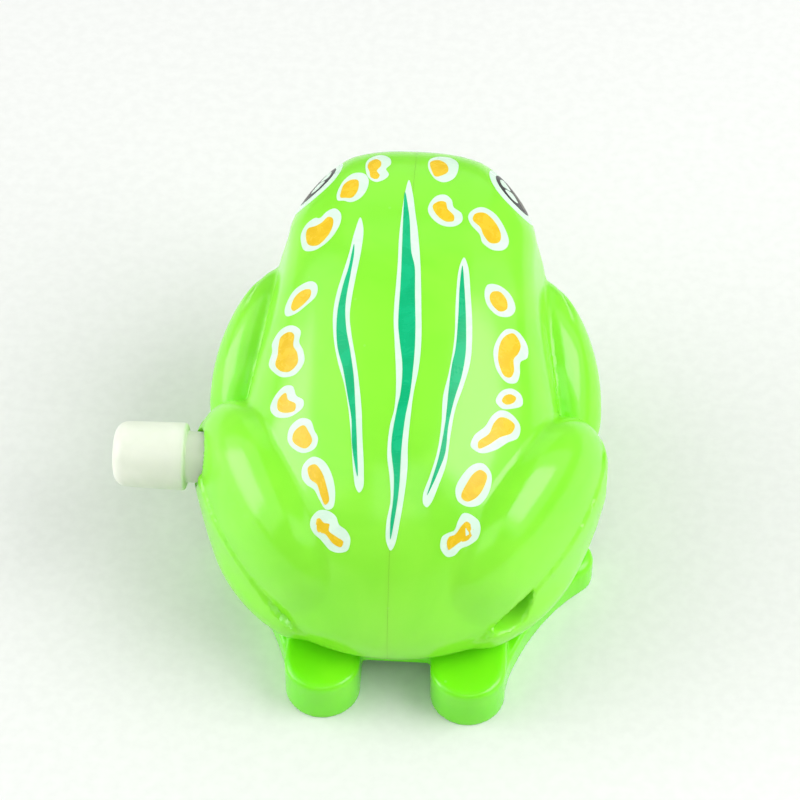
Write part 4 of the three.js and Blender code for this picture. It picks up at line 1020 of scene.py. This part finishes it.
def belly_form(points):
    p = folded(points)
    level = points.copy()
    level[:, 2] = RIM_Z
    plate = trim(torso(level) + WALL + 0.2, between(p[:, 2], PLATE_BOTTOM, PLATE_TOP), 0.3)
    lug = np.minimum(bar_x(p, LEG_PIN_Y, LEG_PIN_Z, 2.2),
                     np.maximum(between(p[:, 1], LEG_PIN_Y - 2.2, LEG_PIN_Y + 2.2),
                                between(p[:, 2], LEG_PIN_Z, PLATE_BOTTOM + 0.5)))
    lug = trim(lug, between(p[:, 0], 8.1, 9.9), 0.3)
    plate = blend(blend(plate, front_leg(p), 0.5), lug, 0.5)
    plate = cut(plate, bar_x(p, LEG_PIN_Y, LEG_PIN_Z, 1.07), 0.15)
    crank_slot = np.maximum(between(points[:, 0], 3.5, 6.5), between(points[:, 1], 9.3, 14.3))
    plate = cut(plate, crank_slot, 0.25)
    for x, y in POSTS + FLANGE_SCREWS:
        plate = cut(plate, bar_z(p, x, y, SCREW_HOLE), 0.15)
    return plate


points, quads = surface_net(belly_form, (-23, -26, -1), (23, 26, 10), 0.4 * FINE)
make_piece("belly_moulding", points, quads, [shell_green], "body", ["belly_plate"])

# %% [markdown]
# ## The hind legs
# Both hind feet, their arms and the crank are one moulding that hinges on the pin. Each foot is
# a tall heel block with round ends, a low web with a curved outer wall and a knob for the toe.
# The outline of the web is flat art, so a distance to its outline gives a wall with an even
# fillet on top.

# %% Leg form
HEEL, TOE = (8.7, -24.2), (20.2, -5.4)
HEEL_RADIUS, HEEL_LENGTH, HEEL_HEIGHT = 4.5, 4.7, 6.0
TOE_RADIUS, TOE_HEIGHT, WEB_HEIGHT = 3.0, 4.4, 3.6
ARM_INNER, ARM_OUTER = 4.4, 7.0
BOSS_RADIUS = 1.9


def bent(start, control, end, count=9):
    t = np.linspace(0, 1, count)[:-1, None]
    start, control, end = (np.array(p, float) for p in (start, control, end))
    return (1 - t) ** 2 * start + 2 * t * (1 - t) * control + t * t * end


WEB = np.concatenate([
    bent((HEEL[0] + 4.36, HEEL[1] + 1), (15.6, -13.6), (TOE[0] + 1.5, TOE[1] - 2.6)),
    [(TOE[0] + 1.5, TOE[1] - 2.6)],
    bent((TOE[0] - 1.5, TOE[1] + 2.6), (12.5, -10), (4.9, -13)),
    [(4.9, -13.0), (4.9, HEEL[1])],
])


def outline_distance(points, outline):
    nearest = np.full(len(points), np.inf)
    inside = np.zeros(len(points), bool)
    for start, end in zip(outline, np.roll(outline, -1, axis=0)):
        edge = end - start
        offset = points[:, :2] - start
        t = np.clip(offset @ edge / max(edge @ edge, 1e-9), 0, 1)
        gap = offset - t[:, None] * edge
        nearest = np.minimum(nearest, (gap ** 2).sum(1))
        spans = (start[1] > points[:, 1]) != (end[1] > points[:, 1])
        rise = end[1] - start[1] if end[1] != start[1] else 1e-9
        inside ^= spans & (points[:, 0] < start[0] + (points[:, 1] - start[1]) * edge[0] / rise)
    return np.where(inside, -1, 1) * np.sqrt(nearest)


def upright(side, z, height, fillet):
    a, b = side + fillet, z - height + fillet
    return np.minimum(np.maximum(a, b), 0) + np.hypot(np.maximum(a, 0), np.maximum(b, 0)) - fillet


def hind_legs(points):
    p = folded(points, LEG_MIDDLE)
    z = p[:, 2]
    heel_line = p[:, 1] - np.clip(p[:, 1], HEEL[1], HEEL[1] + HEEL_LENGTH)
    heel_side = np.hypot(p[:, 0] - HEEL[0], heel_line) - HEEL_RADIUS
    heel = upright(heel_side, z, HEEL_HEIGHT, 0.7)
    toe = upright(bar_z(p, *TOE, TOE_RADIUS), z, TOE_HEIGHT, 1.1)
    web = upright(outline_distance(p, WEB), z, WEB_HEIGHT, 0.5)
    foot = blend(blend(heel, web, 0.5), toe, 0.35)
    across = between(p[:, 0], ARM_INNER, ARM_OUTER)
    arm = trim(across, between(p[:, 1], HEEL[1] + 2, LEG_PIN_Y), 0.3)
    arm = trim(arm, between(z, 2.8, 5.6), 0.5)
    boss = trim(bar_x(p, LEG_PIN_Y, LEG_PIN_Z, BOSS_RADIUS), across, 0.3)
    heel_bar = trim(between(p[:, 0], -1, HEEL[0]),
                    between(p[:, 1], HEEL[1] + 1.8, HEEL[1] + 3.8), 0.1)
    heel_bar = trim(heel_bar, between(z, 3.4, 4.8), 0.4)
    crank = trim(between(points[:, 0], 4.0, 6.0), between(points[:, 1], 11.3, 13.7), 0.3)
    crank = trim(crank, between(z, LEG_PIN_Z, 10.6), 0.3)
    crank_root = np.maximum(bar_x(points, LEG_PIN_Y, LEG_PIN_Z, BOSS_RADIUS),
                            between(points[:, 0], 4.0, 6.2))
    legs = blend(blend(foot, blend(arm, boss, 0.4), 0.6), heel_bar, 0.6)
    legs = blend(legs, np.minimum(crank, crank_root), 0.3)
    legs = trim(legs, -z, 0.3)
    return cut(legs, bar_x(p, LEG_PIN_Y, LEG_PIN_Z, 1.08), 0.15)


points, quads = surface_net(hind_legs, (-24, -30, -1), (26, 16, 12), 0.35 * FINE)
make_piece("hind_legs_moulding", points, quads, [leg_green], "legs", ["hind_legs"])

# %% [markdown]
# ## The winding knob
# The knob is a plain turned grip with a soft outer end and a small lip at its inner edge, and a
# neck that goes into the shell. Spinning a profile gives it exactly. The profile's corners are
# drawn as arcs, so the light rolls round them.

# %% Turned pieces
def arc(centre, radius, start, end, count=8):
    angles = np.radians(np.linspace(start, end, count))
    return [(centre[0] + radius * math.cos(a), centre[1] + radius * math.sin(a)) for a in angles]


def lathe_x(profile, y, z, sides=96):
    profile = np.array(profile, float)
    angles = 2 * math.pi * np.arange(sides) / sides
    points, rings, faces = [], [], []
    for x, radius in profile:
        count = 1 if radius < 1e-6 else sides
        rings.append((len(points), count))
        points += [(x, y + radius * math.cos(a), z + radius * math.sin(a)) for a in angles[:count]]
    for (a, a_count), (b, b_count) in zip(rings, rings[1:]):
        for i in range(sides):
            j = (i + 1) % sides
            ring = [a + i % a_count, b + i % b_count, b + j % b_count, a + j % a_count]
            faces.append(list(dict.fromkeys(ring)))
    return np.array(points), faces


KNOB_OUT, KNOB_IN, NECK_END = -34.4, -25.6, -19.8
KNOB_RADIUS = 4.1
ARBOR_BORE, BORE_END = 1.27, KNOB_IN - 4.5
knob_profile = (
    [(KNOB_OUT, 0), (KNOB_OUT + 0.05, 1.6)]
    + arc((KNOB_OUT + 1.65, KNOB_RADIUS - 1.75), 1.6, 170, 96, 12)
    + [(KNOB_OUT + 3.0, KNOB_RADIUS - 0.1), (KNOB_IN - 1.6, KNOB_RADIUS - 0.02)]
    + arc((KNOB_IN - 0.45, KNOB_RADIUS - 0.45), 0.45, 90, 0, 6)
    + [(KNOB_IN, NECK_RADIUS + 0.2)]
    + arc((KNOB_IN + 0.2, NECK_RADIUS + 0.2), 0.2, 180, 270, 4)
    + [(NECK_END - 0.3, NECK_RADIUS)] + arc((NECK_END - 0.3, NECK_RADIUS - 0.3), 0.3, 90, 0, 4)
    + [(NECK_END, ARBOR_BORE), (BORE_END, ARBOR_BORE), (BORE_END, 0)]
)
points, faces = lathe_x(knob_profile, ARBOR_Y, ARBOR_Z)
make_piece("knob_turning", points, faces, [knob_white], "winding", ["winding_knob"])

pin_half = (in_toy(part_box("leg_pivot_pin")[1]) - in_toy(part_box("leg_pivot_pin")[0]))[0] / 2
pin_profile = (
    [(-pin_half, 0)] + arc((-pin_half + 0.25, 0.75), 0.25, 180, 90, 4)
    + arc((pin_half - 0.25, 0.75), 0.25, 90, 0, 4) + [(pin_half, 0)]
)
points, faces = lathe_x(pin_profile, LEG_PIN_Y, LEG_PIN_Z, 48)
make_piece("leg_pin_turning", points, faces, [plated_steel], "body", ["leg_pivot_pin"])

# %% [markdown]
# ## The screws
# Eight small self-tapping screws hold the plate: four into the posts and four into the motor's
# flanges. Each has a domed pan head with a cross recess, cut from a form like the mouldings,
# and a coarse thread as a ripple on the shank.

# %% Screws
HEAD_TOP = PLATE_BOTTOM - 0.05
HEAD_RADIUS, DOME_RADIUS = 1.78, 2.62
THREAD_RADIUS, THREAD_DEPTH, THREAD_PITCH = 0.76, 0.14, 0.7
RECESS_HALF_WIDTH, RECESS_HALF_LENGTH, RECESS_DEPTH = 0.24, 1.0, 0.42
SCREW_CELL = 0.15


def screw_form(x, y, shank_top):
    def form(points):
        radius = np.hypot(points[:, 0] - x, points[:, 1] - y)
        z = points[:, 2]
        dome = np.hypot(radius, z - HEAD_TOP - 1.6) - DOME_RADIUS
        head = trim(np.maximum(radius - HEAD_RADIUS, dome), z - HEAD_TOP, 0.15)
        angle = np.arctan2(points[:, 1] - y, points[:, 0] - x)
        ripple = THREAD_DEPTH * np.cos((z / THREAD_PITCH) * 2 * math.pi - angle)
        thread = radius - THREAD_RADIUS - ripple * fade(z, HEAD_TOP, HEAD_TOP + 0.6)
        shank = trim(thread, between(z, HEAD_TOP - 0.4, shank_top), 0.1)
        a, b = np.abs(points[:, 0] - x), np.abs(points[:, 1] - y)
        wide, long = RECESS_HALF_WIDTH, RECESS_HALF_LENGTH
        cross = np.minimum(np.maximum(a - wide, b - long), np.maximum(b - wide, a - long))
        cross = np.maximum(cross, z - (HEAD_TOP - RECESS_DEPTH))
        return cut(blend(head, shank, 0.15), cross, 0.06)
    return form


def add_screw(node, x, y):
    low, high = (in_toy(corner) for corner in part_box(node))
    points, quads = surface_net(screw_form(x, y, high[2]), low - 0.5, high + 0.5,
                                SCREW_CELL * FINE)
    make_piece(node + "_turned", points, quads, [plated_steel], "body", [node])


for where, (x, y) in (("front", POSTS[0]), ("rear", POSTS[1])):
    for name, side in (("left", -1), ("right", 1)):
        add_screw(f"belly_screw_{where}_{name}", side * x, y)
for number, (x, y) in enumerate(FLANGE_SCREWS, 1):
    for name, side in (("left", -1), ("right", 1)):
        add_screw(f"motor_screw_{name}_{number}", side * x, y)

# %% [markdown]
# ## The kick spring
# A torsion coil of blued wire sits on the leg pin between the arms, with a straight tang that
# bears on the plate. A round wire is a circle swept along a helix, which is simple to write out.

# %% Wire along a path
def wire(path, radius, sides=14):
    path = np.array(path, float)
    ways = np.gradient(path, axis=0)
    ways /= np.linalg.norm(ways, axis=1)[:, None]
    normal = np.cross(ways[0], (0.3, 0.5, 0.8))
    points, faces = [], []
    for i, (spot, way) in enumerate(zip(path, ways)):
        normal = normal - way * (normal @ way)
        normal /= np.linalg.norm(normal)
        other = np.cross(way, normal)
        for a in 2 * math.pi * np.arange(sides) / sides:
            points.append(spot + radius * (normal * math.cos(a) + other * math.sin(a)))
        if i:
            base, last = i * sides, (i - 1) * sides
            faces += [[last + k, last + (k + 1) % sides, base + (k + 1) % sides, base + k]
                      for k in range(sides)]
    faces += [list(range(sides))[::-1], [len(points) - sides + k for k in range(sides)]]
    return np.array(points), faces


COIL_RADIUS, COIL_HALF, COIL_TURNS = 1.9, 2.6, 5
spring_low = in_toy(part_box("kick_spring")[0])
turns = np.linspace(0, 1, 220)
coil = np.column_stack([
    -COIL_HALF + 2 * COIL_HALF * turns,
    LEG_PIN_Y + COIL_RADIUS * np.cos(math.pi / 2 + turns * COIL_TURNS * 2 * math.pi),
    LEG_PIN_Z + COIL_RADIUS * np.sin(math.pi / 2 + turns * COIL_TURNS * 2 * math.pi)])
tang_steps = np.linspace(1, 0, 12)[:, None]
tang = np.array([coil[0]]) + tang_steps * np.array([[0, spring_low[1] + 0.3 - LEG_PIN_Y, 0]])
points, faces = wire(np.concatenate([tang[:-1], coil]), 0.29)
make_piece("kick_spring_wire", points, faces, [blued_steel], "body",
           ["kick_spring"])

# %% [markdown]
# ## The clockwork inside
# The motor's plates, pillars, gears and mainspring are machined or stamped, with flat faces and
# crisp edges, so the CAD pieces have the right shape already. They only get their metals.

# %% Materials for the carried-over pieces
FINISH = {
    "steel": plated_steel, "spring_steel": blued_steel, "brass": stamped_brass,
    "gear_plastic": acetal, "shell": shell_green, "belly": shell_green, "legs": leg_green,
    "knob": knob_white,
}
carried = []
for part in frame["record"]["subparts"]:
    node = frame["nodes"][part["node"]]
    node.data.materials.clear()
    node.data.materials.append(FINISH[part["material_slot"]])
    if not node.hide_render:
        carried.append(part["node"])
print("carried over from the frame:", carried)

# %% [markdown]
# ## The table, the light and the camera
# A catalogue shot: a pale sheet and six soft boxes. A large one ahead of the frog draws a bright
# field across the head and the front of the back. Each side has a wide box and a smaller, brighter
# core that makes the highlight on the thigh, and a fill hangs near the camera. The camera looks
# down from behind through a long lens.

# %% Floor
def build_floor():
    material = bpy.data.materials.new("pale sheet")
    shader = shader_of(material)
    tree = material.node_tree
    place = add_node(tree, "ShaderNodeTexCoord")
    fibre = add_node(tree, "ShaderNodeTexNoise", [("Vector", place.outputs["Object"])],
                     Scale=700.0, Detail=4.0)
    tone = mixed(tree, mapped(tree, fibre.outputs["Fac"], 0.3, 0.7),
                 (0.80, 0.805, 0.79, 1), (0.83, 0.835, 0.82, 1))
    tree.links.new(tone, shader.inputs["Base Color"])
    shader.inputs["Roughness"].default_value = 0.55
    bm = bmesh.new()
    bmesh.ops.create_grid(bm, x_segments=8, y_segments=8, size=1.5)
    mesh = bpy.data.meshes.new("floor")
    bm.to_mesh(mesh)
    bm.free()
    floor = bpy.data.objects.new("floor", mesh)
    bpy.context.scene.collection.objects.link(floor)
    mesh.materials.append(material)
    return floor


build_floor()


# %% Soft boxes
LIGHT_AIM = (0, 0, 0.018)    # the middle of the frog, in metres


def soft_box(name, azimuth, elevation, distance, size, power):
    light = bpy.data.lights.new(name, "AREA")
    light.shape = "RECTANGLE"
    light.size, light.size_y = size
    light.energy = power
    lamp = bpy.data.objects.new(name, light)
    a, e = math.radians(azimuth), math.radians(elevation)
    way = Vector((math.sin(a) * math.cos(e), -math.cos(a) * math.cos(e), math.sin(e)))
    lamp.location = Vector(LIGHT_AIM) + way * distance
    lamp.rotation_euler = way.to_track_quat("Z", "Y").to_euler()
    bpy.context.scene.collection.objects.link(lamp)
    return lamp


soft_box("front_box", 180, 38, 0.9, (0.9, 0.62), 0.9)
soft_box("left_box", -86, 34, 0.6, (0.80, 0.62), 1.6)
soft_box("right_box", 88, 38, 0.6, (0.80, 0.58), 1.3)
soft_box("left_core", -88, 18, 0.58, (0.40, 0.34), 1.3)
soft_box("right_core", 82, 44, 0.58, (0.44, 0.36), 1.7)
soft_box("fill_box", 5, 50, 1.1, (0.7, 0.5), 1.3)

world = bpy.data.worlds.new("studio")
bpy.context.scene.world = world
world.use_nodes = True
world.node_tree.nodes["Background"].inputs["Color"].default_value = (0.96, 1.0, 0.97, 1)
world.node_tree.nodes["Background"].inputs["Strength"].default_value = 0.36
bpy.context.scene.view_settings.view_transform = "Standard"

# %% Camera
CAMERA_AZIMUTH, CAMERA_ELEVATION = 3.7, 50.0
CAMERA_DISTANCE = 360.0
CAMERA_TARGET = np.array([0.0, 1.5, 17.0])
FRAME_WIDTH = 800
FOCAL_LENGTH = 2960.0

camera = bpy.data.cameras.new("camera")
camera.sensor_width = 36.0
camera.lens = FOCAL_LENGTH / FRAME_WIDTH * camera.sensor_width
camera.shift_x, camera.shift_y = -2.3 / FRAME_WIDTH, 37 / FRAME_WIDTH
camera.clip_start = 0.01
holder = bpy.data.objects.new("camera", camera)
a, e = math.radians(CAMERA_AZIMUTH), math.radians(CAMERA_ELEVATION)
back = np.array([math.sin(a) * math.cos(e), -math.cos(a) * math.cos(e), math.sin(e)])
holder.location = in_frame(CAMERA_TARGET + back * CAMERA_DISTANCE)
holder.rotation_euler = Vector(back).to_track_quat("Z", "Y").to_euler()
bpy.context.scene.collection.objects.link(holder)
bpy.context.scene.camera = holder
print("camera at", [round(v, 3) for v in holder.location])
